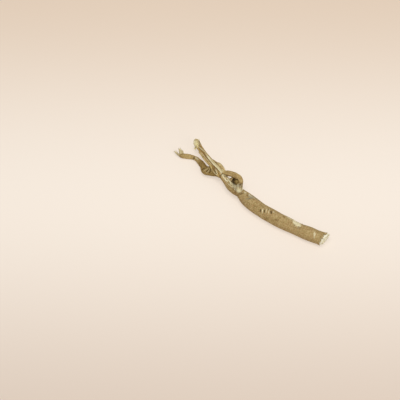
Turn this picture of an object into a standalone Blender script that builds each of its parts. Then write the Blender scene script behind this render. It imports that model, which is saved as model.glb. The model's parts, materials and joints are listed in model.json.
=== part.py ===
"""A dried piece of punarnava root, lying on the surface.

A thick stem covered in bark runs from a sawn end to a narrow neck. Past the neck it splits into a
straight arm, whose bark has come apart into strands, and a low twisted rootlet with frayed fibres
at its end. A thin rootlet rises beside the neck, arches over and grows along the arm's back.
All of it grew together, so it is one solid.

Stations are in millimetres, as (x, y, z, radius). X runs to the sawn end and Z is up.
"""

import bmesh
import bpy
import numpy as np
from mathutils import Matrix, Vector

MM = 0.001

# Moves the stations so that the middle of the whole root stands over the origin.
PLACE = (1.3, -10.6, 0.0)

# Distance between two rings of points along a strand, and points in a ring.
STEM_RING_GAP = 1.8
STEM_SIDES = 24
STRAND_RING_GAP = 1.3
ROOTLET_SIDES = 16
STRAND_SIDES = 12
FIBRE_RING_GAP = 1.5
FIBRE_SIDES = 8

# The saw cut slants, so the end shows a thin ellipse of wood from above and in front.
SAW_CUT_CENTRE = (44.6, -24.2, 4.1)
SAW_CUT_NORMAL = (0.76, -0.64, -0.05)

# What lies under the surface is pared off, which leaves the small flats that the root rests on.
CUTTER_SIZE = 200.0

# Relief of the bark, in millimetres. It fades out at a strand's ends, so that their caps stay flat.
PLAIN_END = 1.5
WRINKLE_DEPTH = 0.08
WRINKLES_ROUND = 5
SWELL_HEIGHT = 0.08
SWELL_LENGTH = 15.0
GROOVE_DEPTH = 0.22
GROOVES_ROUND = 3
GROOVE_TWIST = 0.16
TWIST_DEPTH = 0.34
TWIST_RATE = 0.55
TWIST_REACH = 24.0
THREAD_DEPTH = 0.05
THREADS_ROUND = 3
THREAD_TWIST = 0.3

# Where the stem's bark gives way to the grooved neck and arm, measured along the stem.
NECK_START = 62.0
NECK_LENGTH = 12.0

# Short slits across the stem, each an ellipsoid sunk into the bark.
SLITS = [(4.2, -6.0, 7.6), (6.9, -6.4, 8.3), (10.9, -7.6, 8.6)]
SLIT_HALF_SIZE = (0.32, 1.0, 0.55)
SLIT_SEGMENTS = 8
SLIT_RINGS = 6

# Hollows in the bark: place, reach and depth.
HOLLOWS = [
    ((27.1, -13.0, 6.9), 2.6, 0.30),
    ((30.5, -14.7, 6.7), 1.8, 0.20),
    ((-1.8, 4.9, 8.0), 2.2, 0.40),
    ((0.6, 3.7, 8.0), 1.8, 0.30),
    ((-9.6, 6.4, 3.2), 2.8, 0.60),
]

STEM = [
    (52.0, -26.9, 4.0, 4.12),
    (43.7, -23.9, 4.1, 4.22),
    (38.8, -22.3, 4.1, 4.30),
    (34.4, -20.2, 4.2, 4.42),
    (28.9, -17.5, 4.1, 4.27),
    (20.2, -12.9, 4.2, 4.42),
    (13.0, -8.8, 4.3, 4.58),
    (6.7, -4.5, 4.2, 4.38),
    (-0.9, 1.5, 4.5, 4.55),
    (-5.2, 5.9, 4.6, 4.00),
    (-8.2, 8.6, 4.8, 3.25),
    (-11.2, 10.6, 5.0, 2.85),
    (-14.4, 13.2, 5.4, 2.50),
    (-16.7, 16.9, 5.9, 2.40),
    (-18.6, 19.9, 6.3, 2.36),
    (-21.0, 23.9, 6.8, 2.18),
    (-25.9, 30.0, 7.2, 2.13),
    (-30.2, 35.8, 7.3, 1.94),
    (-33.7, 41.6, 6.9, 1.89),
    (-35.3, 44.7, 6.6, 2.12),
    (-35.9, 46.8, 6.4, 1.92),
    (-36.1, 48.4, 6.3, 1.15),
]

TWISTED_ROOTLET = [
    (-18.8, 20.7, 5.8, 1.67),
    (-22.7, 22.8, 5.2, 1.95),
    (-26.5, 25.0, 4.4, 2.35),
    (-29.9, 27.0, 3.4, 2.90),
    (-32.0, 31.0, 2.7, 2.05),
    (-33.9, 34.1, 2.0, 1.58),
    (-35.9, 36.5, 1.6, 1.43),
    (-37.8, 37.7, 1.3, 1.50),
    (-41.0, 38.5, 1.4, 1.63),
    (-43.9, 38.7, 1.6, 1.57),
    (-45.9, 38.9, 1.9, 1.37),
    (-46.8, 39.2, 2.1, 0.98),
]

# The rootlet that rises from the shoulder, arches over and runs along the arm's back as its ridge.
ARCH_AND_RIDGE = [
    (-8.6, 8.3, 5.6, 1.90),
    (-8.3, 10.6, 8.2, 1.75),
    (-7.9, 12.5, 9.5, 1.50),
    (-7.6, 14.4, 10.4, 1.50),
    (-8.2, 16.4, 10.8, 1.55),
    (-10.1, 18.1, 10.9, 1.55),
    (-12.6, 19.5, 10.8, 1.50),
    (-15.2, 20.6, 10.0, 1.60),
    (-17.7, 21.4, 9.3, 1.42),
    (-19.8, 22.9, 9.0, 1.20),
    (-22.3, 25.6, 9.1, 1.08),
    (-24.9, 28.9, 9.2, 0.92),
    (-27.5, 32.3, 9.1, 0.77),
    (-30.6, 36.8, 8.9, 0.71),
    (-33.5, 40.6, 8.3, 0.71),
    (-35.2, 42.4, 7.6, 0.65),
]

# The strand that comes from under the neck and swells out on the arm's far side.
COLLAR = [
    (-22.2, 21.5, 5.6, 1.09),
    (-20.3, 22.3, 4.1, 1.29),
    (-18.6, 24.0, 4.6, 1.42),
    (-19.4, 26.3, 6.2, 1.55),
    (-21.2, 28.3, 6.9, 1.55),
    (-23.4, 29.7, 7.1, 1.25),
    (-25.3, 31.9, 7.1, 0.85),
]

# Thinner strands with the bark still on them.
BARK_STRANDS = {
    "arm_side_strand": [
        (-20.5, 19.8, 6.4, 0.95),
        (-23.1, 21.9, 7.3, 0.88),
        (-25.4, 24.7, 8.0, 0.82),
        (-27.6, 28.2, 8.2, 0.74),
        (-30.2, 31.8, 8.0, 0.74),
        (-32.4, 35.6, 7.8, 0.74),
        (-34.2, 38.3, 7.4, 0.62),
    ],
    "strand_under_arch": [
        (-8.8, 10.4, 5.4, 1.70),
        (-9.6, 13.3, 5.3, 2.15),
        (-10.6, 16.1, 5.3, 2.45),
        (-11.7, 18.2, 5.3, 2.20),
        (-12.9, 19.0, 5.5, 1.20),
        (-14.0, 18.4, 5.8, 0.85),
        (-15.4, 17.2, 6.0, 0.85),
    ],
    "bridge_to_neck": [(-12.6, 19.5, 10.2, 0.83), (-12.9, 18.0, 8.2, 0.75), (-14.4, 16.3, 6.4, 0.83)],
    "knob": [
        (-9.0, 12.6, 5.6, 1.20),
        (-9.3, 14.6, 7.0, 1.25),
        (-10.1, 16.0, 7.8, 1.15),
        (-10.9, 16.6, 7.9, 0.60),
    ],
}

# Bare splinters, thick at the root and thin at the free end.
SPLINTERS = {
    "stump": [
        (-9.1, 8.0, 5.2, 2.30),
        (-8.9, 9.2, 7.0, 2.35),
        (-8.6, 10.9, 8.4, 2.05),
        (-8.0, 12.5, 9.4, 1.60),
    ],
    "stub_1": [(-11.7, 9.4, 5.8, 1.00), (-12.5, 12.4, 8.3, 0.50)],
    "stub_2": [(-10.8, 8.8, 6.0, 1.05), (-11.4, 12.0, 8.9, 0.50)],
    "stub_3": [(-9.7, 8.2, 6.8, 0.85), (-10.2, 11.8, 9.7, 0.45)],
    "stub_4": [(-7.4, 8.2, 6.4, 0.80), (-7.0, 10.4, 9.2, 0.40)],
    "tip_1": [(-34.5, 42.8, 6.6, 0.95), (-37.1, 47.2, 6.6, 0.50)],
    "tip_2": [(-34.6, 43.1, 7.2, 0.95), (-36.1, 48.3, 7.4, 0.50)],
    "tip_3": [(-34.4, 44.5, 6.0, 0.95), (-34.8, 48.8, 5.8, 0.50)],
    "tip_4": [(-34.8, 42.9, 6.0, 0.85), (-37.3, 46.3, 5.4, 0.50)],
    "tip_5": [(-35.4, 45.4, 5.8, 0.85), (-37.1, 42.2, 4.6, 0.50)],
    "fibre_1": [(-45.6, 38.6, 1.6, 0.75), (-47.6, 39.3, 2.2, 0.55), (-49.8, 41.6, 2.8, 0.40)],
    "fibre_2": [(-45.7, 38.6, 1.7, 1.05), (-46.3, 41.0, 3.0, 0.90), (-46.9, 42.8, 4.2, 0.50)],
    "fibre_3": [(-44.6, 38.6, 1.9, 0.75), (-45.4, 41.8, 3.6, 0.40)],
}

# The material's colour, as red, green and blue in linear light.
BARK_COLOUR = (0.40, 0.29, 0.12, 1.0)
BARK_ROUGHNESS = 0.85
WELD_DISTANCE = 0.001 * MM
SMOOTH_SHADING_ANGLE = 0.9


def smooth_route(stations, ring_gap):
    """Evenly spaced points on a smooth curve through the stations, as rows x, y, z, radius in metres."""
    knots = (np.array(stations, dtype=float) + np.array((*PLACE, 0.0))) * MM
    steps = np.linalg.norm(np.diff(knots[:, :3], axis=0), axis=1)
    along = np.concatenate(([0.0], np.cumsum(steps)))
    slopes = np.gradient(knots, along, axis=0)
    count = max(2, round(along[-1] / (ring_gap * MM)) + 1)
    wanted = np.linspace(0.0, along[-1], count)
    left = np.clip(np.searchsorted(along, wanted, side="right") - 1, 0, len(knots) - 2)
    span = (along[left + 1] - along[left])[:, None]
    t = (wanted - along[left])[:, None] / span
    return (
        (2 * t**3 - 3 * t**2 + 1) * knots[left]
        + (t**3 - 2 * t**2 + t) * span * slopes[left]
        + (3 * t**2 - 2 * t**3) * knots[left + 1]
        + (t**3 - t**2) * span * slopes[left + 1]
    )


def tube(name, route, sides):
    """A closed mesh tube along the route, made from a bevelled curve whose point radius is the tube's."""
    curve = bpy.data.curves.new(name, "CURVE")
    curve.dimensions = "3D"
    curve.bevel_depth = 1.0
    curve.bevel_resolution = (sides - 4) // 2
    curve.use_fill_caps = True
    spline = curve.splines.new("POLY")
    spline.points.add(len(route) - 1)
    for point, (x, y, z, radius) in zip(spline.points, route):
        point.co = (x, y, z, 1.0)
        point.radius = radius
    guide = bpy.data.objects.new(name + "_guide", curve)
    bpy.context.scene.collection.objects.link(guide)
    evaluated = guide.evaluated_get(bpy.context.evaluated_depsgraph_get())
    mesh = bpy.data.meshes.new_from_object(evaluated)
    strand = bpy.data.objects.new(name, mesh)
    strand.matrix_world = guide.matrix_world
    bpy.data.objects.remove(guide)
    bpy.data.curves.remove(curve)
    weld_caps(mesh)
    return strand


def weld_caps(mesh):
    """Join a tube's loose end caps to it."""
    work = bmesh.new()
    work.from_mesh(mesh)
    bmesh.ops.remove_doubles(work, verts=work.verts, dist=WELD_DISTANCE)
    work.to_mesh(mesh)
    work.free()


def carve(strand, route, relief):
    """Move a tube's points in or out by the relief, a function of distance, angle and place."""
    mesh = strand.data
    points = np.empty(len(mesh.vertices) * 3)
    mesh.vertices.foreach_get("co", points)
    points = points.reshape(-1, 3)
    centres = route[:, :3]
    nearest = np.argmin(np.linalg.norm(points[:, None, :] - centres[None, :, :], axis=2), axis=1)
    steps = np.linalg.norm(np.diff(centres, axis=0), axis=1)
    stretch = np.concatenate(([0.0], np.cumsum(steps)))
    distance = stretch[nearest]
    full = np.clip(np.minimum(distance, stretch[-1] - distance) / (PLAIN_END * MM), 0.0, 1.0)
    ahead = np.gradient(centres, axis=0)[nearest]
    ahead /= np.linalg.norm(ahead, axis=1)[:, None]
    side = np.cross(ahead, (0.0, 0.0, 1.0))
    side /= np.linalg.norm(side, axis=1)[:, None]
    above = np.cross(side, ahead)
    outward = points - centres[nearest]
    outward /= np.linalg.norm(outward, axis=1)[:, None]
    angle = np.arctan2((outward * above).sum(axis=1), (outward * side).sum(axis=1))
    place = points / MM - np.array(PLACE)
    points += outward * (full * relief(distance / MM, angle, place) * MM)[:, None]
    mesh.vertices.foreach_set("co", points.ravel())
    mesh.update()


def in_metres(place):
    """A place in the stations' millimetres as a point of the scene."""
    return (Vector(place) + Vector(PLACE)) * MM


def hollows(place):
    """How deep the hollows in the bark are at each place."""
    depth = np.zeros(len(place))
    for centre, reach, deepest in HOLLOWS:
        gap = np.linalg.norm(place - np.array(centre), axis=1)
        depth += deepest * np.exp(-((gap / reach) ** 2))
    return depth


def stem_relief(distance, angle, place):
    """Low wrinkles and swellings on the stem, which turn into deep grooves past the neck."""
    arm = np.clip((distance - NECK_START) / NECK_LENGTH, 0.0, 1.0)
    wrinkles = WRINKLE_DEPTH * np.sin(WRINKLES_ROUND * angle + np.sin(distance / SWELL_LENGTH))
    swells = SWELL_HEIGHT * np.sin(distance * 2 * np.pi / SWELL_LENGTH + np.cos(angle))
    grooves = GROOVE_DEPTH * np.sin(GROOVES_ROUND * angle + GROOVE_TWIST * distance)
    return (1.0 - arm) * (wrinkles + swells) + arm * grooves - hollows(place)


def rootlet_relief(distance, angle, place):
    """Grooves that wind round the rootlet, as if it were two strands twisted together."""
    fading = np.exp(-((distance / TWIST_REACH) ** 4))
    return TWIST_DEPTH * np.cos(2 * angle + TWIST_RATE * distance) * fading


def strand_relief(distance, angle, place):
    """A slight grain along the thin rootlets."""
    return THREAD_DEPTH * np.sin(THREADS_ROUND * angle + THREAD_TWIST * distance)


def carved_strand(name, stations, ring_gap, sides, relief):
    """A strand along its stations, with its relief."""
    route = smooth_route(stations, ring_gap)
    strand = tube(name, route, sides)
    carve(strand, route, relief)
    return strand


def collection(name):
    """A new collection in the scene."""
    made = bpy.data.collections.new(name)
    bpy.context.scene.collection.children.link(made)
    return made


def grow_strands(holder):
    """Every strand that the stem carries, each a closed tube sunk well into it."""
    strands = [
        carved_strand(
            "twisted_rootlet", TWISTED_ROOTLET, STRAND_RING_GAP, ROOTLET_SIDES, rootlet_relief
        ),
        carved_strand(
            "arch_and_ridge", ARCH_AND_RIDGE, STRAND_RING_GAP, STRAND_SIDES, strand_relief
        ),
        carved_strand("collar", COLLAR, STRAND_RING_GAP, STRAND_SIDES, strand_relief),
    ]
    for name, stations in {**BARK_STRANDS, **SPLINTERS}.items():
        strands.append(tube(name, smooth_route(stations, FIBRE_RING_GAP), FIBRE_SIDES))
    for strand in strands:
        holder.objects.link(strand)


def fuse(stem, holder):
    """Unite the stem with every strand in the collection, then remove the collection and its objects."""
    union = stem.modifiers.new("union", "BOOLEAN")
    union.operation = "UNION"
    union.operand_type = "COLLECTION"
    union.collection = holder
    union.solver = "EXACT"
    evaluated = stem.evaluated_get(bpy.context.evaluated_depsgraph_get())
    fused = bpy.data.meshes.new_from_object(evaluated)
    stem.modifiers.clear()
    stem.data = fused
    for strand in list(holder.objects):
        bpy.data.objects.remove(strand)
    bpy.data.collections.remove(holder)


def hidden_cutter(name, work, centre, rotation, holder):
    """A cutter object from a working mesh, turned and placed at a centre in metres."""
    mesh = bpy.data.meshes.new(name)
    work.to_mesh(mesh)
    work.free()
    cutter = bpy.data.objects.new(name, mesh)
    cutter.location = centre
    cutter.rotation_mode = "QUATERNION"
    cutter.rotation_quaternion = rotation
    cutter.hide_render = True
    cutter.display_type = "WIRE"
    holder.objects.link(cutter)
    return cutter


def block(name, centre, normal, holder):
    """A cutter whose face passes through the centre and which fills the side that the normal points to."""
    work = bmesh.new()
    bmesh.ops.create_cube(work, size=CUTTER_SIZE * MM)
    bmesh.ops.translate(work, verts=work.verts, vec=(0.0, 0.0, CUTTER_SIZE * MM / 2))
    rotation = Vector(normal).to_track_quat("Z", "Y")
    return hidden_cutter(name, work, in_metres(centre), rotation, holder)


def slit(name, place, holder):
    """The cutter of one slit, an ellipsoid that lies across the stem, half sunk into its skin."""
    centre = in_metres(place)
    route = smooth_route(STEM, STEM_RING_GAP)[:, :3]
    nearest = int(np.argmin(np.linalg.norm(route - np.array(centre), axis=1)))
    along = Vector(route[nearest + 1] - route[nearest - 1]).normalized()
    out = centre - Vector(route[nearest])
    out = (out - along * out.dot(along)).normalized()
    work = bmesh.new()
    bmesh.ops.create_uvsphere(work, u_segments=SLIT_SEGMENTS, v_segments=SLIT_RINGS, radius=MM)
    bmesh.ops.scale(work, verts=work.verts, vec=SLIT_HALF_SIZE)
    rotation = Matrix((along, out.cross(along), out)).transposed().to_quaternion()
    return hidden_cutter(name, work, centre, rotation, holder)


def cut_away(body, cutter):
    """Take the cutter's space out of the body."""
    cut = body.modifiers.new(cutter.name, "BOOLEAN")
    cut.operation = "DIFFERENCE"
    cut.object = cutter
    cut.solver = "EXACT"


def bark_material():
    """Dry, pale brown bark."""
    material = bpy.data.materials.new("root_bark")
    material.use_nodes = True
    shader = material.node_tree.nodes["Principled BSDF"]
    shader.inputs["Base Color"].default_value = BARK_COLOUR
    shader.inputs["Roughness"].default_value = BARK_ROUGHNESS
    shader.inputs["Metallic"].default_value = 0.0
    return material


def build_root():
    """The whole root, as one object."""
    parts = collection("punarnava_root")
    cutters = collection("cutters")
    strands = collection("strands")
    root = carved_strand("root", STEM, STEM_RING_GAP, STEM_SIDES, stem_relief)
    parts.objects.link(root)
    grow_strands(strands)
    fuse(root, strands)
    cut_away(root, block("saw_cut", SAW_CUT_CENTRE, SAW_CUT_NORMAL, cutters))
    cut_away(root, block("under_the_surface", (0.0, 0.0, 0.0), (0.0, 0.0, -1.0), cutters))
    for number, place in enumerate(SLITS, start=1):
        cut_away(root, slit(f"slit_{number}", place, cutters))
    root.data.materials.clear()
    root.data.materials.append(bark_material())
    root.data.shade_smooth()
    root.data.set_sharp_from_angle(angle=SMOOTH_SHADING_ANGLE)
    return root


for old_object in list(bpy.data.objects):
    bpy.data.objects.remove(old_object, do_unlink=True)
build_root()
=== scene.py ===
"""The looks of a dried piece of punarnava root, lying on a pale surface.

The root is one grown thing: a bark-covered stem with a sawn end, a neck where a thin rootlet arches
over, a straight arm of several strands with a frayed tip, and a low twisted rootlet with frayed
fibres. Its strands are lofted along their centre lines, fused by a fine remesh, and given the bark's
furrows, warts, slits and scars by formula. Splinters, fibres, flakes of bark and the sawn wood are
pieces of their own. Lengths are in millimetres until a mesh is made.
"""

from __future__ import annotations

import json
import logging
import math
import random
from dataclasses import dataclass, field
from enum import Enum
from typing import Any, Iterable

import bmesh
import bpy
import numpy as np
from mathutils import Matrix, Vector, noise

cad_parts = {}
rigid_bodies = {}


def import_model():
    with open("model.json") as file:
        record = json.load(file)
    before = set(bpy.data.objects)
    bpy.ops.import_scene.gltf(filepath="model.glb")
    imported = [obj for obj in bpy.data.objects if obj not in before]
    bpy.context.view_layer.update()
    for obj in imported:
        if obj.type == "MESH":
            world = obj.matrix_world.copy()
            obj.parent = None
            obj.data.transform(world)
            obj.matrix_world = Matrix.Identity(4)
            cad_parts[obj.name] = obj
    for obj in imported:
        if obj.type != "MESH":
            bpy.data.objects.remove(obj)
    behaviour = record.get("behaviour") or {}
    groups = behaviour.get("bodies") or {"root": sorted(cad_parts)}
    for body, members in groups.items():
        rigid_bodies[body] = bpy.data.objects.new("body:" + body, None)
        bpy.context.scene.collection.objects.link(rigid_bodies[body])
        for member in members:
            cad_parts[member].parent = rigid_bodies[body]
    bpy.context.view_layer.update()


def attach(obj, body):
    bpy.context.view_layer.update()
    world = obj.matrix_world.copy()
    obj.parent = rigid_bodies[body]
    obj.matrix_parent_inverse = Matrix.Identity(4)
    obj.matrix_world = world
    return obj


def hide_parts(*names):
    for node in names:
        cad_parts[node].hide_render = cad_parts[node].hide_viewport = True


log = logging.getLogger("punarnava_root")

MM = 0.001
BODY = "root"
NODE = "root"

# Moves the stations so that the middle of the whole root stands over the origin.
PLACE = np.array((1.3, -10.6, 0.0))

# How far apart the noise fields of two seeds lie.
SEED_STEP = np.array((7.31, 3.17, 5.71))

# Every angle round a strand, for random draws.
ALL_ROUND = (-math.pi, math.pi)

# About the stem's radius at its sawn end.
SAWN_RADIUS = 4.0

# A place, a station or a colour; a least and a greatest value; and the points that each face joins.
Row = tuple[float, ...]
Span = tuple[float, float]
Faces = list[tuple[int, ...]]


class Cover(Enum):
    """What a strand is covered with, which settles its relief and its colour."""

    STEM = 0
    ROOTLET = 1
    ARCH = 2
    BARKED = 3
    BARE = 4


@dataclass(frozen=True)
class Strand:
    """One strand of the root: stations as rows of x, y, z and radius."""

    name: str
    cover: Cover
    stations: tuple[Row, ...]


STEM = Strand("stem", Cover.STEM, (
    (52.0, -26.9, 4.0, 4.12), (43.7, -23.9, 4.1, 4.22), (38.8, -22.3, 4.1, 4.30),
    (34.4, -20.2, 4.2, 4.42), (28.9, -17.5, 4.1, 4.27), (20.2, -12.9, 4.2, 4.42),
    (13.0, -8.8, 4.3, 4.58), (6.7, -4.5, 4.2, 4.38), (-0.9, 1.5, 4.5, 4.55),
    (-5.2, 5.9, 4.6, 4.00), (-8.2, 8.6, 4.8, 3.25), (-11.2, 10.6, 5.0, 2.85),
    (-14.4, 13.2, 5.4, 2.50), (-16.7, 16.9, 5.9, 2.40), (-18.6, 19.9, 6.3, 2.36),
    (-21.0, 23.9, 6.8, 2.18), (-25.9, 30.0, 7.2, 2.13), (-30.2, 35.8, 7.3, 1.94),
    (-33.7, 41.6, 6.9, 1.89), (-35.3, 44.7, 6.6, 2.12), (-35.9, 46.8, 6.4, 1.92),
    (-36.1, 48.4, 6.3, 1.15),
))

TWISTED_ROOTLET = Strand("twisted_rootlet", Cover.ROOTLET, (
    (-18.8, 20.7, 5.8, 1.67), (-22.7, 22.8, 5.2, 1.95), (-26.5, 25.0, 4.4, 2.35),
    (-29.9, 27.0, 3.4, 2.90), (-32.0, 31.0, 2.7, 2.05), (-33.9, 34.1, 2.0, 1.58),
    (-35.9, 36.5, 1.6, 1.43), (-37.8, 37.7, 1.3, 1.50), (-41.0, 38.5, 1.4, 1.63),
    (-43.9, 38.7, 1.6, 1.57), (-45.9, 38.9, 1.9, 1.37), (-46.8, 39.2, 2.1, 0.98),
))

ARCH_AND_RIDGE = Strand("arch_and_ridge", Cover.ARCH, (
    (-8.6, 8.3, 5.6, 1.90), (-8.3, 10.6, 8.2, 1.75), (-7.9, 12.5, 9.5, 1.50),
    (-7.6, 14.4, 10.4, 1.50), (-8.2, 16.4, 10.8, 1.55), (-10.1, 18.1, 10.9, 1.55),
    (-12.6, 19.5, 10.8, 1.50), (-15.2, 20.6, 10.0, 1.60), (-17.7, 21.4, 9.3, 1.42),
    (-19.8, 22.9, 9.0, 1.20), (-22.3, 25.6, 9.1, 1.08), (-24.9, 28.9, 9.2, 0.92),
    (-27.5, 32.3, 9.1, 0.77), (-30.6, 36.8, 8.9, 0.71), (-33.5, 40.6, 8.3, 0.71),
    (-35.2, 42.4, 7.6, 0.65),
))

COLLAR = Strand("collar", Cover.BARKED, (
    (-22.2, 21.5, 5.6, 1.09), (-20.3, 22.3, 4.1, 1.29), (-18.6, 24.0, 4.6, 1.42),
    (-19.4, 26.3, 6.2, 1.55), (-21.2, 28.3, 6.9, 1.55), (-23.4, 29.7, 7.1, 1.25),
    (-25.3, 31.9, 7.1, 0.85),
))

ARM_SIDE_STRAND = Strand("arm_side_strand", Cover.BARKED, (
    (-20.5, 19.8, 6.4, 0.95), (-23.1, 21.9, 7.3, 0.88), (-25.4, 24.7, 8.0, 0.82),
    (-27.6, 28.2, 8.2, 0.74), (-30.2, 31.8, 8.0, 0.74), (-32.4, 35.6, 7.8, 0.74),
    (-34.2, 38.3, 7.4, 0.62),
))

INNER_STRANDS = (
    Strand("strand_under_arch", Cover.BARKED, (
        (-8.8, 10.4, 5.4, 1.70), (-9.6, 13.3, 5.3, 2.15), (-10.6, 16.1, 5.3, 2.45),
        (-11.7, 18.2, 5.3, 2.20), (-12.9, 19.0, 5.5, 1.20), (-14.0, 18.4, 5.8, 0.85),
        (-15.4, 17.2, 6.0, 0.85),
    )),
    Strand("bridge_to_neck", Cover.BARKED, (
        (-12.6, 19.5, 10.2, 0.83), (-12.9, 18.0, 8.2, 0.75), (-14.4, 16.3, 6.4, 0.83),
    )),
    Strand("knob", Cover.BARKED, (
        (-9.0, 12.6, 5.6, 1.20), (-9.3, 14.6, 7.0, 1.25), (-10.1, 16.0, 7.8, 1.15),
        (-10.9, 16.6, 7.9, 0.60),
    )),
)

STUMP = Strand("stump", Cover.BARE, (
    (-9.1, 8.0, 5.2, 2.30), (-8.9, 9.2, 7.0, 2.35), (-8.6, 10.9, 8.4, 2.05),
    (-8.0, 12.5, 9.4, 1.60),
))

STUB_SPLINTERS = (
    Strand("stub_1", Cover.BARE, ((-11.7, 9.4, 5.8, 1.00), (-12.5, 12.4, 8.3, 0.50))),
    Strand("stub_2", Cover.BARE, ((-10.8, 8.8, 6.0, 1.05), (-11.4, 12.0, 8.9, 0.50))),
    Strand("stub_3", Cover.BARE, ((-9.7, 8.2, 6.8, 0.85), (-10.2, 11.8, 9.7, 0.45))),
    Strand("stub_4", Cover.BARE, ((-7.4, 8.2, 6.4, 0.80), (-7.0, 10.4, 9.2, 0.40))),
)

TIP_SPLINTERS = (
    Strand("tip_1", Cover.BARE, ((-34.5, 42.8, 6.6, 0.95), (-37.1, 47.2, 6.6, 0.50))),
    Strand("tip_2", Cover.BARE, ((-34.6, 43.1, 7.2, 0.95), (-36.1, 48.3, 7.4, 0.50))),
    Strand("tip_3", Cover.BARE, ((-34.4, 44.5, 6.0, 0.95), (-34.8, 48.8, 5.8, 0.50))),
    Strand("tip_4", Cover.BARE, ((-34.8, 42.9, 6.0, 0.85), (-37.3, 46.3, 5.4, 0.50))),
    Strand("tip_5", Cover.BARE, ((-35.4, 45.4, 5.8, 0.85), (-37.1, 42.2, 4.6, 0.50))),
)

FRAYED_FIBRES = (
    Strand("fibre_1", Cover.BARE, (
        (-45.6, 38.6, 1.6, 0.75), (-47.6, 39.3, 2.2, 0.55), (-49.8, 41.6, 2.8, 0.40),
    )),
    Strand("fibre_2", Cover.BARE, (
        (-45.7, 38.6, 1.7, 1.05), (-46.3, 41.0, 3.0, 0.90), (-46.9, 42.8, 4.2, 0.50),
    )),
    Strand("fibre_3", Cover.BARE, ((-44.6, 38.6, 1.9, 0.75), (-45.4, 41.8, 3.6, 0.40))),
)

STRANDS = (
    STEM,
    TWISTED_ROOTLET,
    ARCH_AND_RIDGE,
    COLLAR,
    ARM_SIDE_STRAND,
    *INNER_STRANDS,
    STUMP,
    *STUB_SPLINTERS,
    *TIP_SPLINTERS,
    *FRAYED_FIBRES,
)


def linear(red: float, green: float, blue: float) -> Row:
    """A screen colour, from 0 to 255, in linear light with its alpha, by the sRGB curve.

    Args:
        red: How red, from 0 to 255.
        green: How green.
        blue: How blue.

    Returns:
        Red, green, blue and alpha.
    """
    parts = []
    for part in (red, green, blue):
        share = part / 255
        parts.append(share / 12.92 if share <= 0.04045 else ((share + 0.055) / 1.055) ** 2.4)
    return (*parts, 1.0)


def smoothstep(low: float, high: float, value: np.ndarray) -> np.ndarray:
    """A smooth climb from 0 at low to 1 at high; low may be the larger of the two."""
    t = np.clip((value - low) / (high - low), 0.0, 1.0)
    return t * t * (3 - 2 * t)


def noise_at(points: np.ndarray, scale: Row, seed: float) -> np.ndarray:
    """Smooth noise, about -1 to 1, at each row of points, after its columns are scaled."""
    shifted = points * np.array(scale) + seed * SEED_STEP
    return np.array([noise.noise(row) for row in shifted.tolist()])


def furrows(value: np.ndarray, width: float) -> np.ndarray:
    """Narrow valleys, from 0 down to -1, along the lines where the noise passes through zero."""
    return -np.exp(-((value / width) ** 2))


def angles_round(sides: int) -> np.ndarray:
    """Even angles round a full turn."""
    return np.linspace(0, 2 * math.pi, sides, endpoint=False)


def circle(angle: np.ndarray, radius: float) -> np.ndarray:
    """A point on a flat circle for each angle."""
    return radius * np.stack([np.cos(angle), np.sin(angle), np.zeros_like(angle)], axis=1)


@dataclass(frozen=True)
class Layer:
    """A layer of noise: cycles a millimetre along and across the grain, seed and valleys' width."""

    along: float
    across: float
    seed: float
    valley: float = 0.0

    def read(self, points: np.ndarray) -> np.ndarray:
        """The noise at each point, from about -1 to 1, or its valleys, from 0 down to -1."""
        value = noise_at(points, (self.along, self.across, self.across), self.seed)
        return furrows(value, self.valley) if self.valley else value


@dataclass
class CentreLine:
    """A strand's centre line as arrays: distance, centre, radius, and the frame across it."""

    strand: Strand
    along: np.ndarray
    centre: np.ndarray
    radius: np.ndarray
    ahead: np.ndarray
    side: np.ndarray
    above: np.ndarray

    @classmethod
    def through(cls, strand: Strand, gap: float) -> CentreLine:
        """The smooth cubic curve through a strand's stations.

        Args:
            strand: The strand.
            gap: Distance between two samples.

        Returns:
            The sampled centre line.
        """
        knots = np.array(strand.stations, dtype=float) + np.array((*PLACE, 0.0))
        steps = np.linalg.norm(np.diff(knots[:, :3], axis=0), axis=1)
        reach = np.concatenate(([0.0], np.cumsum(steps)))
        slopes = np.gradient(knots, reach, axis=0)
        wanted = np.linspace(0.0, reach[-1], max(3, round(reach[-1] / gap) + 1))
        left = np.clip(np.searchsorted(reach, wanted, side="right") - 1, 0, len(knots) - 2)
        span = (reach[left + 1] - reach[left])[:, None]
        t = (wanted - reach[left])[:, None] / span
        rows = (
            (2 * t**3 - 3 * t**2 + 1) * knots[left]
            + (t**3 - 2 * t**2 + t) * span * slopes[left]
            + (3 * t**2 - 2 * t**3) * knots[left + 1]
            + (t**3 - t**2) * span * slopes[left + 1]
        )
        centre = rows[:, :3]
        walked = np.linalg.norm(np.diff(centre, axis=0), axis=1)
        ahead = np.gradient(centre, axis=0)
        ahead /= np.linalg.norm(ahead, axis=1)[:, None]
        side = np.cross(ahead, (0.0, 0.0, 1.0))
        side /= np.linalg.norm(side, axis=1)[:, None]
        return cls(
            strand,
            np.concatenate(([0.0], np.cumsum(walked))),
            centre,
            rows[:, 3],
            ahead,
            side,
            np.cross(side, ahead),
        )

    def at(self, values: np.ndarray, along: np.ndarray) -> np.ndarray:
        """One of the line's arrays, read between its samples at the given distances.

        Args:
            values: The array.
            along: Distances along the strand.

        Returns:
            A value, or a row, for each distance.
        """
        if values.ndim == 1:
            return np.interp(along, self.along, values)
        return np.stack([np.interp(along, self.along, column) for column in values.T], axis=-1)

    def surface(self, along: np.ndarray, angle: np.ndarray, lift: np.ndarray) -> np.ndarray:
        """Points on the strand's surface.

        Args:
            along: Distances along the strand.
            angle: Angles round it, from its side towards its top.
            lift: How far each point stands over the strand's own radius.

        Returns:
            The points, with one more axis than along.
        """
        radius = (self.at(self.radius, along) + lift)[..., None]
        side = self.at(self.side, along)
        above = self.at(self.above, along)
        outward = np.cos(angle)[..., None] * side + np.sin(angle)[..., None] * above
        return self.at(self.centre, along) + radius * outward


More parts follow.
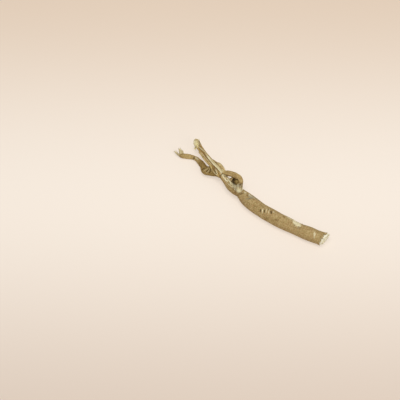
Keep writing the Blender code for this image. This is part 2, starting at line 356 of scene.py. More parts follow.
@dataclass
class Located:
    """Where points lie on the strands: number, distance, angle, radius and gap to the next strand."""

    strand: np.ndarray
    along: np.ndarray
    angle: np.ndarray
    radius: np.ndarray
    other: np.ndarray

    def grain(self, turn: np.ndarray | float = 0.0) -> np.ndarray:
        """Coordinates that run along each strand and round it with no seam."""
        angle = self.angle + turn
        return np.stack(
            [self.along, self.radius * np.cos(angle), self.radius * np.sin(angle)], axis=1
        )


@dataclass
class Skeleton:
    """All centre lines together."""

    gap: float = 0.5
    chunk: int = 8000
    own_share: float = 0.5
    lines: list[CentreLine] = field(default_factory=list)

    def __post_init__(self) -> None:
        """Sample every strand."""
        self.lines = [CentreLine.through(strand, self.gap) for strand in STRANDS]

    def line(self, name: str) -> CentreLine:
        """The centre line of a strand by its name."""
        return next(line for line in self.lines if line.strand.name == name)

    def locate(self, points: np.ndarray) -> Located:
        """Find the strand whose surface each point lies on, and the point's place on it.

        Args:
            points: Rows of x, y and z.

        Returns:
            The places, one for each row.
        """
        count = len(points)
        gaps = np.empty((count, len(self.lines)))
        along = np.empty_like(gaps)
        angle = np.empty_like(gaps)
        radius = np.empty_like(gaps)
        for column, line in enumerate(self.lines):
            for start in range(0, count, self.chunk):
                rows = slice(start, start + self.chunk)
                here = points[rows]
                apart = ((here[:, None, :] - line.centre[None, :, :]) ** 2).sum(axis=2)
                nearest = np.argmin(apart, axis=1)
                step = ((here - line.centre[nearest]) * line.ahead[nearest]).sum(axis=1)
                reach = np.clip(line.along[nearest] + step, 0.0, line.along[-1])
                outward = here - line.at(line.centre, reach)
                distance = np.linalg.norm(outward, axis=1)
                gaps[rows, column] = np.abs(distance - line.at(line.radius, reach))
                along[rows, column] = reach
                radius[rows, column] = line.at(line.radius, reach)
                angle[rows, column] = np.arctan2(
                    (outward * line.above[nearest]).sum(axis=1),
                    (outward * line.side[nearest]).sum(axis=1),
                )
        chosen = np.argmin(gaps, axis=1)
        every = np.arange(count)
        nearest_gap = gaps[every, chosen].copy()
        gaps[every, chosen] = np.inf
        return Located(
            chosen,
            along[every, chosen],
            angle[every, chosen],
            radius[every, chosen],
            gaps.min(axis=1) - self.own_share * nearest_gap,
        )


class Mark(Enum):
    """What a mark on the bark shows."""

    BARE = "bare"
    GREY = "grey"
    DARK = "dark"
    LIGHT = "light"
    BROWN = "brown"
    BARK = "bark"


# The marks that the bark's material reads. The one left out puts bark back on bare wood.
SHOWN_MARKS = tuple(mark for mark in Mark if mark is not Mark.BARK)


@dataclass(frozen=True)
class Patch:
    """A mark with uneven edges on one strand: its place, half size, relief, and how it slants.

    The lean is how far it slips along the strand for each millimetre round it, and the wind how many
    degrees it turns round the strand for each millimetre along it. The edge says where the mark ends
    and where it is whole, as shares of its half size.
    """

    strand: str
    mark: Mark
    along: float
    degrees: float
    half_length: float
    half_width: float
    lift: float = 0.0
    ragged: float = 0.3
    lean: float = 0.0
    wind: float = 0.0
    strength: float = 1.0
    edge: Span = (1.15, 0.85)

    def share(self, skeleton: Skeleton, located: Located, rough: np.ndarray) -> np.ndarray:
        """How strongly each point carries the mark, from 0 to 1.

        Args:
            skeleton: The centre lines, which give the strand's number.
            located: Where the points lie.
            rough: Noise that makes the edges uneven.

        Returns:
            One number for each point.
        """
        number = skeleton.lines.index(skeleton.line(self.strand))
        turn = located.angle - np.radians(self.degrees + self.wind * (located.along - self.along))
        turn = (turn + math.pi) % (2 * math.pi) - math.pi
        across = turn * located.radius
        length = located.along - self.along - self.lean * across
        reach = np.sqrt((length / self.half_length) ** 2 + (across / self.half_width) ** 2)
        share = smoothstep(*self.edge, reach + self.ragged * rough)
        return self.strength * share * (located.strand == number)


PATCHES = (
    # The bare patch on the stem's far edge, the strip beside it and the grey spots by it
    Patch("stem", Mark.BARE, 28.3, 59.0, 3.3, 3.0, lift=-0.14, ragged=0.25, lean=-0.15),
    Patch("stem", Mark.LIGHT, 28.2, 60.0, 2.9, 2.5, ragged=0.3, lean=-0.15, strength=0.75),
    Patch("stem", Mark.BARE, 32.6, 48.0, 3.4, 1.3, lift=-0.08, strength=0.8),
    Patch("stem", Mark.GREY, 25.9, 102.0, 0.9, 0.9, ragged=0.5, strength=0.35),
    Patch("stem", Mark.GREY, 23.3, 50.0, 0.8, 0.7, strength=0.45),
    # The pale chip near the sawn end, which fades downwards, and a spot above it
    Patch("stem", Mark.LIGHT, 15.1, 104.0, 0.70, 1.2, lift=0.06, ragged=0.15, lean=-0.28, strength=0.8),
    Patch("stem", Mark.LIGHT, 14.7, 126.0, 0.60, 1.2, ragged=0.2, lean=-0.28, strength=0.35),
    Patch("stem", Mark.LIGHT, 15.6, 79.0, 0.80, 0.45, strength=0.2),
    # The grey scar beside the neck, and the small bump next to it with a painted highlight
    Patch("stem", Mark.GREY, 62.2, 61.0, 2.5, 2.0, lift=-0.14, strength=0.80),
    Patch("stem", Mark.LIGHT, 64.4, 58.0, 1.0, 1.1, ragged=0.4, strength=0.45),
    Patch("stem", Mark.GREY, 59.8, 46.0, 3.0, 1.0, lift=-0.08, strength=0.5),
    # A painted highlight on the small bump
    Patch("stem", Mark.LIGHT, 67.5, 74.0, 0.9, 0.8, lift=0.25, ragged=0.1, strength=0.6),
    # The dark, stringy bark low on the near side of the shoulder
    Patch("stem", Mark.BROWN, 65.0, 168.0, 3.6, 0.9, ragged=0.9, strength=0.4),
    Patch("stem", Mark.BROWN, 58.0, 176.0, 4.0, 0.8, ragged=0.9, strength=0.3),
    # The slits and the pale strokes between them
    Patch("stem", Mark.DARK, 52.0, 125.0, 0.34, 1.00, lift=-0.40, ragged=0.1, lean=-0.30),
    Patch("stem", Mark.LIGHT, 50.7, 116.0, 0.32, 1.45, lift=0.05, ragged=0.1, lean=-0.45),
    Patch("stem", Mark.DARK, 49.6, 109.0, 0.34, 1.15, lift=-0.40, ragged=0.1, lean=-0.40),
    Patch("stem", Mark.LIGHT, 48.6, 96.0, 0.24, 1.60, lift=0.05, ragged=0.1, lean=-0.39, strength=0.7),
    Patch("stem", Mark.LIGHT, 47.1, 87.0, 0.22, 1.80, lift=0.05, ragged=0.1, lean=-0.44, strength=0.7),
    Patch("stem", Mark.DARK, 45.5, 89.0, 0.42, 1.20, lift=-0.45, ragged=0.1, lean=-0.47),
    # Small spots on the stem
    Patch("stem", Mark.DARK, 47.9, 76.0, 0.40, 0.55, lift=-0.12, strength=0.45),
    Patch("stem", Mark.LIGHT, 44.3, 76.0, 0.60, 0.60, strength=0.5),
    Patch("stem", Mark.BROWN, 40.4, 126.0, 0.55, 0.60, lift=-0.12, strength=0.7),
    Patch("stem", Mark.DARK, 10.2, 136.0, 0.50, 0.60, lift=-0.15, strength=0.8),
    # The neck's strip of bare wood, which winds from its top to its far side
    Patch("stem", Mark.BARE, 82.4, 64.0, 6.6, 1.50, lift=-0.12, ragged=0.25, wind=4.2),
    Patch("stem", Mark.LIGHT, 82.4, 64.0, 6.2, 1.15, ragged=0.35, wind=4.2, strength=0.8),
    Patch("stem", Mark.BARE, 84.2, 36.0, 2.8, 0.7, ragged=0.3, strength=0.6),
    # Painted shade along the arm's far edge, in grey
    Patch("stem", Mark.GREY, 103.0, 34.0, 9.0, 0.6, ragged=0.4, strength=0.35),
    # The splintered tip, and its brown patch
    Patch("stem", Mark.BARE, 118.5, 120.0, 4.4, 9.0, ragged=0.5, strength=0.9),
    Patch("stem", Mark.BROWN, 116.0, 46.0, 2.2, 0.9, lift=-0.10, strength=0.8),
    # The ridge, half bare
    Patch("arch_and_ridge", Mark.BARE, 30.5, 100.0, 9.5, 1.1, ragged=0.4, strength=0.55),
    # Marks on the twisted rootlet, and its bare end
    Patch("twisted_rootlet", Mark.LIGHT, 23.9, 100.0, 1.5, 0.60, lift=0.04, ragged=0.2, strength=0.5),
    Patch("twisted_rootlet", Mark.GREY, 23.9, 92.0, 1.8, 0.80, ragged=0.3, strength=0.4),
    Patch("twisted_rootlet", Mark.DARK, 25.8, 131.0, 0.60, 0.55, lift=-0.30, ragged=0.1),
    Patch("twisted_rootlet", Mark.BROWN, 13.2, 76.0, 1.20, 0.80, strength=0.35),
    Patch("twisted_rootlet", Mark.BARE, 40.6, 90.0, 1.6, 9.0, ragged=0.6, strength=0.7),
)


@dataclass(frozen=True)
class Crease:
    """A narrow mark along a line on the skin, with stations of x, y, z and half width.

    The gap is the distance between the line's samples, the margin how far from the line points are
    looked at, and the edge where the mark ends and where it is whole, as shares of its half width.
    """

    mark: Mark
    stations: tuple[Row, ...]
    lift: float = 0.0
    strength: float = 1.0
    gap: float = 0.15
    margin: float = 1.5
    edge: Span = (1.5, 0.5)

    def share(self, points: np.ndarray) -> np.ndarray:
        """How strongly each point carries the mark, from 0 to 1.

        Args:
            points: Rows of x, y and z.

        Returns:
            One number for each point.
        """
        line = CentreLine.through(Strand("crease", Cover.BARE, self.stations), self.gap)
        low = line.centre.min(axis=0) - self.margin
        high = line.centre.max(axis=0) + self.margin
        near = np.flatnonzero(np.all((points > low) & (points < high), axis=1))
        apart = np.linalg.norm(points[near][:, None, :] - line.centre[None, :, :], axis=2)
        nearest = np.argmin(apart, axis=1)
        reach = apart[np.arange(len(near)), nearest] / line.radius[nearest]
        share = np.zeros(len(points))
        share[near] = self.strength * smoothstep(*self.edge, reach)
        return share


CREASES = (
    # Across the stem, below the slits and left of them
    Crease(Mark.BROWN, (
        (6.3, -8.2, 7.2, 0.25), (8.4, -9.3, 7.5, 0.35), (11.2, -9.3, 8.6, 0.25),
    ), lift=-0.06, strength=0.3),
    Crease(Mark.BROWN, (
        (7.5, -10.3, 5.0, 0.20), (8.7, -10.4, 6.8, 0.30), (10.5, -10.5, 7.6, 0.20),
    ), lift=-0.10, strength=0.45),
    # Left of the grey scar, and the streak along its lower side
    Crease(Mark.BROWN, (
        (-3.3, 6.5, 8.1, 0.30), (-3.5, 5.0, 8.3, 0.38), (-3.8, 3.5, 8.5, 0.25),
    ), lift=-0.30),
    Crease(Mark.GREY, (
        (-4.7, 2.4, 8.1, 0.30), (-2.4, 2.4, 8.9, 0.38), (0.1, 3.8, 7.7, 0.30),
    ), lift=-0.15),
    Crease(Mark.DARK, (
        (-4.5, 2.4, 8.2, 0.20), (-2.4, 2.5, 8.9, 0.26), (-0.9, 3.1, 8.4, 0.20),
    ), lift=-0.08, strength=0.45),
    Crease(Mark.LIGHT, (
        (-2.3, 4.9, 8.1, 0.30), (-0.6, 4.3, 7.9, 0.35), (1.0, 3.6, 7.7, 0.25),
    ), lift=0.03, strength=0.35),
    # Painted shade under the broken stump
    Crease(Mark.DARK, (
        (-10.3, 6.9, 8.2, 0.35), (-8.9, 6.4, 8.1, 0.45), (-7.3, 6.5, 8.0, 0.45),
        (-6.0, 6.9, 8.2, 0.30),
    ), lift=-0.20, strength=0.55),
    # The short slanting folds low on the shoulder
    Crease(Mark.BROWN, (
        (-7.3, 1.9, 5.0, 0.22), (-6.9, 2.4, 6.3, 0.28), (-6.4, 2.9, 7.0, 0.20),
    ), lift=-0.12, strength=0.55),
    Crease(Mark.LIGHT, (
        (-6.8, 1.2, 5.1, 0.20), (-6.2, 1.6, 6.6, 0.25), (-5.7, 2.0, 7.2, 0.20),
    ), lift=0.06, strength=0.22),
    Crease(Mark.BROWN, (
        (-6.2, 0.4, 5.0, 0.22), (-5.7, 0.8, 6.3, 0.28), (-5.1, 1.1, 7.1, 0.20),
    ), lift=-0.12, strength=0.55),
    Crease(Mark.LIGHT, (
        (-5.5, -0.2, 5.3, 0.20), (-4.8, 0.2, 6.6, 0.25), (-4.2, 0.5, 7.3, 0.20),
    ), lift=0.06, strength=0.22),
    Crease(Mark.BROWN, (
        (-4.9, -1.0, 5.5, 0.22), (-4.2, -0.6, 6.6, 0.28), (-3.5, -0.2, 7.3, 0.20),
    ), lift=-0.12, strength=0.50),
    # Up the stump: its grey left side and lower edge, painted shade on its top, and the lines between
    Crease(Mark.GREY, (
        (-12.2, 13.2, 7.3, 0.50), (-11.4, 10.8, 8.5, 0.65), (-10.6, 8.8, 8.4, 0.55),
    ), strength=0.75),
    Crease(Mark.GREY, (
        (-9.9, 7.5, 8.5, 0.45), (-8.6, 7.1, 8.7, 0.50), (-7.2, 7.3, 8.4, 0.40),
    ), strength=0.6),
    Crease(Mark.BROWN, (
        (-12.2, 13.0, 7.4, 0.55), (-11.4, 10.6, 8.5, 0.60), (-10.8, 8.9, 8.4, 0.40),
    ), lift=-0.05, strength=0.3),
    Crease(Mark.GREY, (
        (-9.4, 11.0, 10.0, 0.28), (-9.5, 9.4, 9.3, 0.32), (-9.6, 8.1, 8.6, 0.28),
    ), lift=-0.10, strength=0.7),
    # Painted shade on the stump's top
    Crease(Mark.GREY, (
        (-10.6, 11.2, 9.6, 0.75), (-9.2, 10.8, 10.1, 0.80), (-7.8, 10.8, 10.2, 0.70),
    ), strength=0.6),
    Crease(Mark.BROWN, (
        (-8.6, 11.2, 10.2, 0.34), (-8.5, 9.8, 9.9, 0.38), (-8.6, 8.8, 9.3, 0.25),
    ), lift=-0.08, strength=0.7),
    Crease(Mark.DARK, (
        (-7.5, 10.9, 10.1, 0.28), (-7.5, 9.8, 9.5, 0.28), (-7.4, 8.7, 8.8, 0.20),
    ), lift=-0.20, strength=0.75),
    Crease(Mark.LIGHT, (
        (-10.4, 8.8, 8.7, 0.45), (-9.2, 8.0, 8.9, 0.60), (-7.6, 8.2, 8.6, 0.50),
    ), strength=0.3),
    # Bark that closes round the stump's lower side
    Crease(Mark.BARK, (
        (-12.9, 11.1, 7.6, 0.60), (-11.7, 9.2, 7.3, 0.90), (-10.4, 7.0, 7.2, 1.30),
        (-8.6, 6.3, 7.2, 1.20), (-7.0, 5.9, 8.1, 0.80),
    )),
    # Across the foot of the arch
    Crease(Mark.DARK, (
        (-9.1, 11.7, 10.5, 0.35), (-8.0, 11.8, 10.6, 0.50), (-7.0, 12.2, 10.4, 0.40),
    ), lift=-0.25, strength=0.7),
    # Painted shade in the hollow inside the arch, and the lines on the knob
    Crease(Mark.DARK, (
        (-11.1, 18.6, 7.2, 0.70), (-12.3, 17.0, 7.3, 0.85), (-12.4, 15.8, 6.8, 0.85),
        (-11.8, 14.6, 6.9, 0.70), (-10.8, 13.6, 7.1, 0.40),
    ), lift=-0.40, strength=0.88),
    Crease(Mark.BROWN, (
        (-10.6, 16.0, 8.7, 0.25), (-10.2, 14.5, 8.3, 0.25),
    ), lift=-0.15, strength=0.7),
    Crease(Mark.BROWN, (
        (-9.6, 15.9, 8.7, 0.25), (-9.4, 14.5, 8.3, 0.25),
    ), lift=-0.15, strength=0.7),
    # The arch's brown left part, and painted shade along its underside
    Crease(Mark.BROWN, (
        (-17.6, 20.9, 10.8, 0.80), (-15.1, 19.9, 11.5, 0.60), (-12.6, 18.6, 11.9, 0.40),
    ), strength=0.45),
    # Painted shade along the arch's underside
    Crease(Mark.BROWN, (
        (-16.9, 19.4, 9.7, 0.60), (-15.1, 18.8, 10.2, 0.70), (-12.8, 18.0, 10.4, 0.60),
        (-10.2, 16.5, 10.5, 0.30),
    ), lift=0.75, strength=0.9),
    # The whitish wood along the neck, the grey left of it, and painted shade where the neck meets the
    # ridge
    Crease(Mark.LIGHT, (
        (-18.9, 19.6, 8.5, 0.80), (-17.4, 17.7, 8.2, 1.00), (-15.6, 15.7, 7.9, 1.10),
        (-14.2, 13.9, 7.7, 1.05), (-13.0, 12.3, 7.8, 0.80),
    )),
    Crease(Mark.GREY, (
        (-18.8, 19.1, 8.3, 0.28), (-17.0, 16.6, 8.0, 0.30), (-14.8, 14.0, 7.6, 0.30),
        (-12.9, 11.3, 8.2, 0.25),
    ), lift=-0.18, strength=0.8),
    # Painted shade where the neck meets the ridge
    Crease(Mark.DARK, (
        (-20.9, 19.7, 7.4, 0.40), (-20.0, 20.2, 8.5, 0.50), (-18.9, 20.7, 8.8, 0.35),
    ), lift=-0.30, strength=0.6),
    # The ridge's bright edge, the dark line beside it, and the tan strand that goes on to the tip
    Crease(Mark.LIGHT, (
        (-29.2, 33.8, 9.6, 0.28), (-27.8, 31.8, 9.6, 0.45), (-26.5, 29.7, 9.5, 0.25),
        (-25.3, 27.8, 9.6, 0.55), (-23.7, 25.9, 9.7, 0.45), (-21.8, 23.6, 9.7, 0.40),
        (-20.0, 21.4, 9.4, 0.65),
    ), lift=0.12, strength=1.25),
    Crease(Mark.DARK, (
        (-24.2, 30.3, 8.4, 0.25), (-22.3, 28.0, 8.4, 0.30), (-20.6, 24.4, 9.8, 0.30),
        (-19.4, 22.2, 10.1, 0.20),
    ), lift=-0.15, strength=0.4),
    Crease(Mark.LIGHT, (
        (-35.0, 42.0, 8.3, 0.45), (-33.0, 39.7, 9.1, 0.45), (-30.9, 37.5, 9.4, 0.40),
        (-28.8, 35.2, 9.4, 0.30),
    ), lift=0.06, strength=0.45),
    Crease(Mark.DARK, (
        (-35.2, 43.0, 8.5, 0.25), (-34.1, 42.6, 8.5, 0.28), (-33.4, 41.5, 8.7, 0.20),
    ), lift=-0.20, strength=0.6),
    # The tip's pale left part and its brown right part
    Crease(Mark.LIGHT, (
        (-37.5, 45.7, 7.7, 0.80), (-36.2, 44.5, 8.4, 0.90), (-35.5, 42.8, 8.2, 0.60),
    ), strength=0.7),
    Crease(Mark.BROWN, (
        (-33.9, 46.6, 7.5, 0.60), (-33.6, 44.4, 8.3, 0.75), (-34.0, 42.2, 8.7, 0.40),
    ), strength=0.7),
    # The strands on the arm's near side, and the dark lines between them
    Crease(Mark.LIGHT, (
        (-33.0, 37.2, 8.3, 0.30), (-30.7, 33.9, 8.4, 0.38), (-28.4, 30.7, 8.4, 0.38),
        (-26.5, 27.9, 8.5, 0.30),
    ), lift=0.12, strength=0.4),
    Crease(Mark.DARK, (
        (-31.5, 36.3, 8.6, 0.20), (-29.3, 33.1, 8.8, 0.24), (-27.3, 30.1, 8.8, 0.24),
        (-25.6, 27.6, 8.6, 0.28),
    ), lift=-0.22, strength=0.55),
    Crease(Mark.LIGHT, (
        (-33.2, 35.5, 7.9, 0.30), (-31.0, 31.9, 8.3, 0.35), (-28.8, 29.0, 8.5, 0.30),
    ), lift=0.08, strength=0.25),
    Crease(Mark.DARK, (
        (-25.7, 26.2, 8.5, 0.35), (-24.6, 24.1, 8.5, 0.60), (-23.4, 21.5, 8.0, 0.45),
    ), lift=-0.45, strength=0.9),
    Crease(Mark.LIGHT, (
        (-23.8, 25.3, 8.3, 0.30), (-23.1, 23.5, 7.8, 0.40), (-22.6, 21.2, 7.9, 0.30),
    ), lift=0.12, strength=0.8),
    Crease(Mark.LIGHT, (
        (-26.3, 25.4, 6.8, 0.35), (-24.6, 22.4, 7.7, 0.45), (-22.8, 20.6, 7.4, 0.35),
    ), lift=0.12, strength=0.6),
    # The brown far edge of the swollen strand
    Crease(Mark.BROWN, (
        (-23.2, 29.5, 8.3, 0.30), (-21.2, 29.1, 8.3, 0.40), (-19.7, 27.7, 8.0, 0.40),
        (-18.8, 25.9, 7.5, 0.35),
    ), lift=0.65, strength=0.5),
    # The fan of ridges and hollows where the rootlet is thickest, with painted shade in the hollows
    Crease(Mark.LIGHT, (
        (-27.8, 27.3, 6.0, 0.25), (-29.7, 25.6, 6.0, 0.32), (-31.3, 24.8, 5.1, 0.25),
    ), lift=0.12, strength=0.32),
    Crease(Mark.LIGHT, (
        (-27.4, 26.1, 6.5, 0.25), (-28.1, 24.5, 5.9, 0.28), (-29.4, 23.8, 5.0, 0.25),
    ), lift=0.12, strength=0.32),
    # Painted shade in the fan's hollows
    Crease(Mark.DARK, (
        (-30.6, 26.7, 6.1, 0.40), (-32.2, 26.1, 5.3, 0.50),
    ), lift=-0.38, strength=0.7),
    Crease(Mark.DARK, (
        (-28.2, 25.6, 6.2, 0.30), (-29.5, 24.4, 5.5, 0.35),
    ), lift=-0.32, strength=0.7),
    Crease(Mark.DARK, (
        (-26.8, 25.1, 6.6, 0.40), (-27.4, 23.7, 5.6, 0.45),
    ), lift=-0.38, strength=0.75),
)


@dataclass(frozen=True)
class Tint:
    """How much redder, greener and bluer a strand's bark is than plain bark.

    Where it changes along the strand, near is the tint up to the start, and far beyond the end.
    """

    near: Row
    far: Row | None = None
    start: float = 0.0
    end: float = 1.0

    def at(self, along: np.ndarray) -> np.ndarray:
        """The tint at distances along the strand, as rows of red, green and blue."""
        share = smoothstep(self.start, self.end, along)[:, None]
        return (1 - share) * np.array(self.near) + share * np.array(self.far or self.near)


STRAND_TINTS = {
    "stem": Tint((0.92, 0.91, 0.91), (1.32, 1.30, 1.15), 76.0, 97.0),
    "twisted_rootlet": Tint((0.66, 0.61, 0.44), (1.04, 1.05, 1.00), 17.0, 28.0),
    "arch_and_ridge": Tint((1.08, 1.08, 1.05), (1.10, 1.12, 1.00), 18.0, 22.0),
    "collar": Tint((1.60, 1.80, 2.10)),
    "arm_side_strand": Tint((1.12, 1.12, 0.98)),
    # Painted shade: the strand under the arch is tinted dark for the arch's shadow over it
    "strand_under_arch": Tint((0.70, 0.65, 0.48)),
    "knob": Tint((0.88, 0.90, 0.70)),
}


@dataclass(frozen=True)
class SawCut:
    """The slanting sawn end: its plane, and how far the bark has chipped back from it.

    The stem's rings lean to the plane at the cut, and stand square again at the lean length.
    """

    centre: Row = (44.6, -24.2, 4.1)
    normal: Row = (0.76, -0.64, -0.05)
    bark_back: float = 0.85
    chip: float = 2.60
    lean_length: float = 9.0

    def start(self, line: CentreLine, angle: np.ndarray, back: float, share: float) -> np.ndarray:
        """Where the cut meets the stem at each angle, as a distance along it.

        Args:
            line: The stem's centre line.
            angle: Angles round the stem.
            back: How far behind the cut's plane.
            share: Which part of the stem's radius.

        Returns:
            Distances along the stem.
        """
        middle = np.array(self.centre) + PLACE
        normal = np.array(self.normal)
        nearest = int(np.argmin(np.linalg.norm(line.centre - middle, axis=1)))
        ahead, side, above = line.ahead[nearest], line.side[nearest], line.above[nearest]
        reach = line.radius[nearest] * share
        outward = reach * (np.cos(angle)[..., None] * side + np.sin(angle)[..., None] * above)
        return line.along[nearest] - (outward @ normal) / (ahead @ normal) + back


@dataclass(frozen=True)
class Hollow:
    """A round hollow in the bark: its middle, its reach and its depth."""

    middle: Row
    reach: float
    depth: float


HOLLOWS = (
    # Under the bare patch
    Hollow((27.1, -13.0, 6.9), 2.6, 0.30),
    Hollow((30.5, -14.7, 6.7), 1.8, 0.20),
    # Under the grey scar
    Hollow((-1.8, 4.9, 8.0), 2.2, 0.40),
    Hollow((0.6, 3.7, 8.0), 1.8, 0.30),
    # Where the shoulder narrows to the neck
    Hollow((-9.6, 6.4, 3.2), 2.8, 0.60),
)


@dataclass
class Relief:
    """The forms of the bark, from the low swellings down to its furrows and warts."""

    skeleton: Skeleton

    # The forms of each strand's section
    wrinkle_depth: float = 0.08
    wrinkles_round: int = 5
    swell_height: float = 0.08
    swell_length: float = 15.0
    groove_depth: float = 0.22
    grooves_round: int = 3
    groove_twist: float = 0.16
    twist_depth: float = 0.34
    twist_rate: float = 0.55
    twist_ridges: int = 2
    twist_length: float = 24.0
    neck_start: float = 62.0
    neck_length: float = 12.0
    strand_depth: float = 0.04
    strand_ridges: int = 3
    strand_twist: float = 0.3
    splinter_depth: float = 0.10
    splinter_twist: float = 0.9

    # Where all bark is stringy, and where the stem's is still plain
    stringy: Span = (84.0, 70.0)

    # Layers of the bark, and how deep each is
    coarse: Layer = Layer(0.10, 0.62, 1.0, valley=0.16)
    coarse_depth: float = 0.02
    coarse_on_arm: float = 0.08
    middle: Layer = Layer(0.22, 1.25, 2.0, valley=0.20)
    middle_depth: float = 0.02
    middle_on_arm: float = 0.12
    middle_on_rootlet: float = 0.07
    middle_on_thin: float = 0.04
    fine: Layer = Layer(0.55, 2.6, 3.0)
    fine_depth: float = 0.045
    uneven: Layer = Layer(0.30, 0.30, 4.0)
    uneven_on_stem: float = 0.06
    uneven_on_thin: float = 0.05
    rootlet_rise: float = 0.10
    bands: Layer = Layer(1.10, 0.25, 5.0, valley=0.16)
    banded: Layer = Layer(0.16, 0.2, 6.0)
    banded_from: Span = (0.05, 0.35)
    band_depth: float = 0.07

    # Warts
    warts: int = 22
    wart_seed: int = 41
    wart_places: Span = (9.0, 70.0)
    wart_heights: Span = (0.05, 0.16)
    wart_lengths: Span = (0.28, 0.55)
    wart_widening: Span = (1.2, 2.4)

    # Wood whose bark is gone
    wood_lines: Layer = Layer(0.10, 2.2, 11.0, valley=0.25)
    wood_line_depth: float = 0.10
    wood_threads: Layer = Layer(0.14, 3.6, 12.0)
    wood_thread_depth: float = 0.05

    def hollows(self, points: np.ndarray) -> np.ndarray:
        """How deep the hollows in the bark are at each point.

        Args:
            points: Rows of x, y and z.

        Returns:
            One number for each point.
        """
        depth = np.zeros(points.shape[:-1])
        for hollow in HOLLOWS:
            gap = np.linalg.norm(points - (np.array(hollow.middle) + PLACE), axis=-1)
            depth += hollow.depth * np.exp(-((gap / hollow.reach) ** 2))
        return depth

    def form(self, line: CentreLine, along: np.ndarray, angle: np.ndarray) -> np.ndarray:
        """The low relief that a strand's section has before it is fused with the others.

        Args:
            line: The strand's centre line.
            along: Distances along it.
            angle: Angles round it.

        Returns:
            How far the surface stands out, at each place.
        """
        cover = line.strand.cover
        if cover is Cover.STEM:
            return self.stem_form(line, along, angle)
        if cover is Cover.ROOTLET:
            fading = np.exp(-((along / self.twist_length) ** 4))
            turned = self.twist_ridges * angle + self.twist_rate * along
            return self.twist_depth * np.cos(turned) * fading
        ridges = self.strand_ridges * angle
        if cover is Cover.BARE:
            return self.splinter_depth * np.cos(ridges + self.splinter_twist * along)
        return self.strand_depth * np.sin(ridges + self.strand_twist * along)

    def stem_form(self, line: CentreLine, along: np.ndarray, angle: np.ndarray) -> np.ndarray:
        """The stem's wrinkles, swellings and hollows, which give way to grooves along the arm.

        Args:
            line: The stem's centre line.
            along: Distances along it.
            angle: Angles round it.

        Returns:
            How far the surface stands out, at each place.
        """
        arm = np.clip((along - self.neck_start) / self.neck_length, 0.0, 1.0)
        wander = np.sin(along / self.swell_length)
        wrinkles = self.wrinkle_depth * np.sin(self.wrinkles_round * angle + wander)
        waves = along * 2 * np.pi / self.swell_length
        swells = self.swell_height * np.sin(waves + np.cos(angle))
        twist = self.groove_twist * along
        grooves = self.groove_depth * np.sin(self.grooves_round * angle + twist)
        hollows = self.hollows(line.surface(along, angle, np.zeros_like(along)))
        return (1 - arm) * (wrinkles + swells) + arm * grooves - hollows

    def covered(self, located: Located, cover: Cover) -> np.ndarray:
        """1 where a point's strand has this cover, else 0."""
        numbers = [i for i, line in enumerate(self.skeleton.lines) if line.strand.cover is cover]
        return np.isin(located.strand, numbers).astype(float)

    def plain_stem(self, located: Located) -> np.ndarray:
        """1 on the stem's plain bark, falling to 0 past the neck, where all bark is stringy."""
        return self.covered(located, Cover.STEM) * smoothstep(*self.stringy, located.along)

    def grain(self, located: Located) -> np.ndarray:
        """Coordinates along and round each strand, which follow the rootlet's twist."""
        turn = 0.5 * self.twist_rate * located.along
        return located.grain(turn * self.covered(located, Cover.ROOTLET))

    def bark(self, located: Located) -> np.ndarray:
        """Furrows, fine grain, cross cracks and warts of the bark, in millimetres.

        Args:
            located: Where the points lie on the strands.

        Returns:
            One number for each point.
        """
        stem = self.covered(located, Cover.STEM)
        rootlet = self.covered(located, Cover.ROOTLET)
        thin = 1 - stem
        smooth = self.plain_stem(located)
        arm = stem - smooth
        grain = self.grain(located)
        coarse_depth = self.coarse_depth + self.coarse_on_arm * arm
        middle_depth = self.middle_depth + self.middle_on_arm * arm
        middle_depth += self.middle_on_rootlet * rootlet + self.middle_on_thin * thin
        uneven_depth = self.uneven_on_stem * smooth + self.uneven_on_thin * thin
        banded = smoothstep(*self.banded_from, self.banded.read(grain))
        height = coarse_depth * self.coarse.read(grain)
        height += middle_depth * self.middle.read(grain)
        height += self.fine_depth * self.fine.read(grain)
        height += uneven_depth * self.uneven.read(grain)
        height += self.rootlet_rise * rootlet
        height += self.band_depth * self.bands.read(grain) * banded * smooth
        return height + self.wart_field(located) * smooth

    def wart_field(self, located: Located) -> np.ndarray:
        """Scattered low warts, each a little wider across the stem than along it.

        Args:
            located: Where the points lie on the strands.

        Returns:
            One number for each point.
        """
        draw = random.Random(self.wart_seed)
        height = np.zeros(len(located.along))
        for _ in range(self.warts):
            along = draw.uniform(*self.wart_places)
            angle = draw.uniform(*ALL_ROUND)
            tall = draw.uniform(*self.wart_heights)
            length = draw.uniform(*self.wart_lengths)
            width = length * draw.uniform(*self.wart_widening)
            turn = (located.angle - angle + math.pi) % (2 * math.pi) - math.pi
            reach = ((located.along - along) / length) ** 2 + (turn * located.radius / width) ** 2
            height += tall * np.exp(-reach)
        return height

    def fibres(self, located: Located) -> np.ndarray:
        """The finer, straighter relief of wood whose bark is gone.

        Args:
            located: Where the points lie on the strands.

        Returns:
            One number for each point.
        """
        grain = located.grain()
        lines = self.wood_line_depth * self.wood_lines.read(grain)
        return lines + self.wood_thread_depth * self.wood_threads.read(grain)


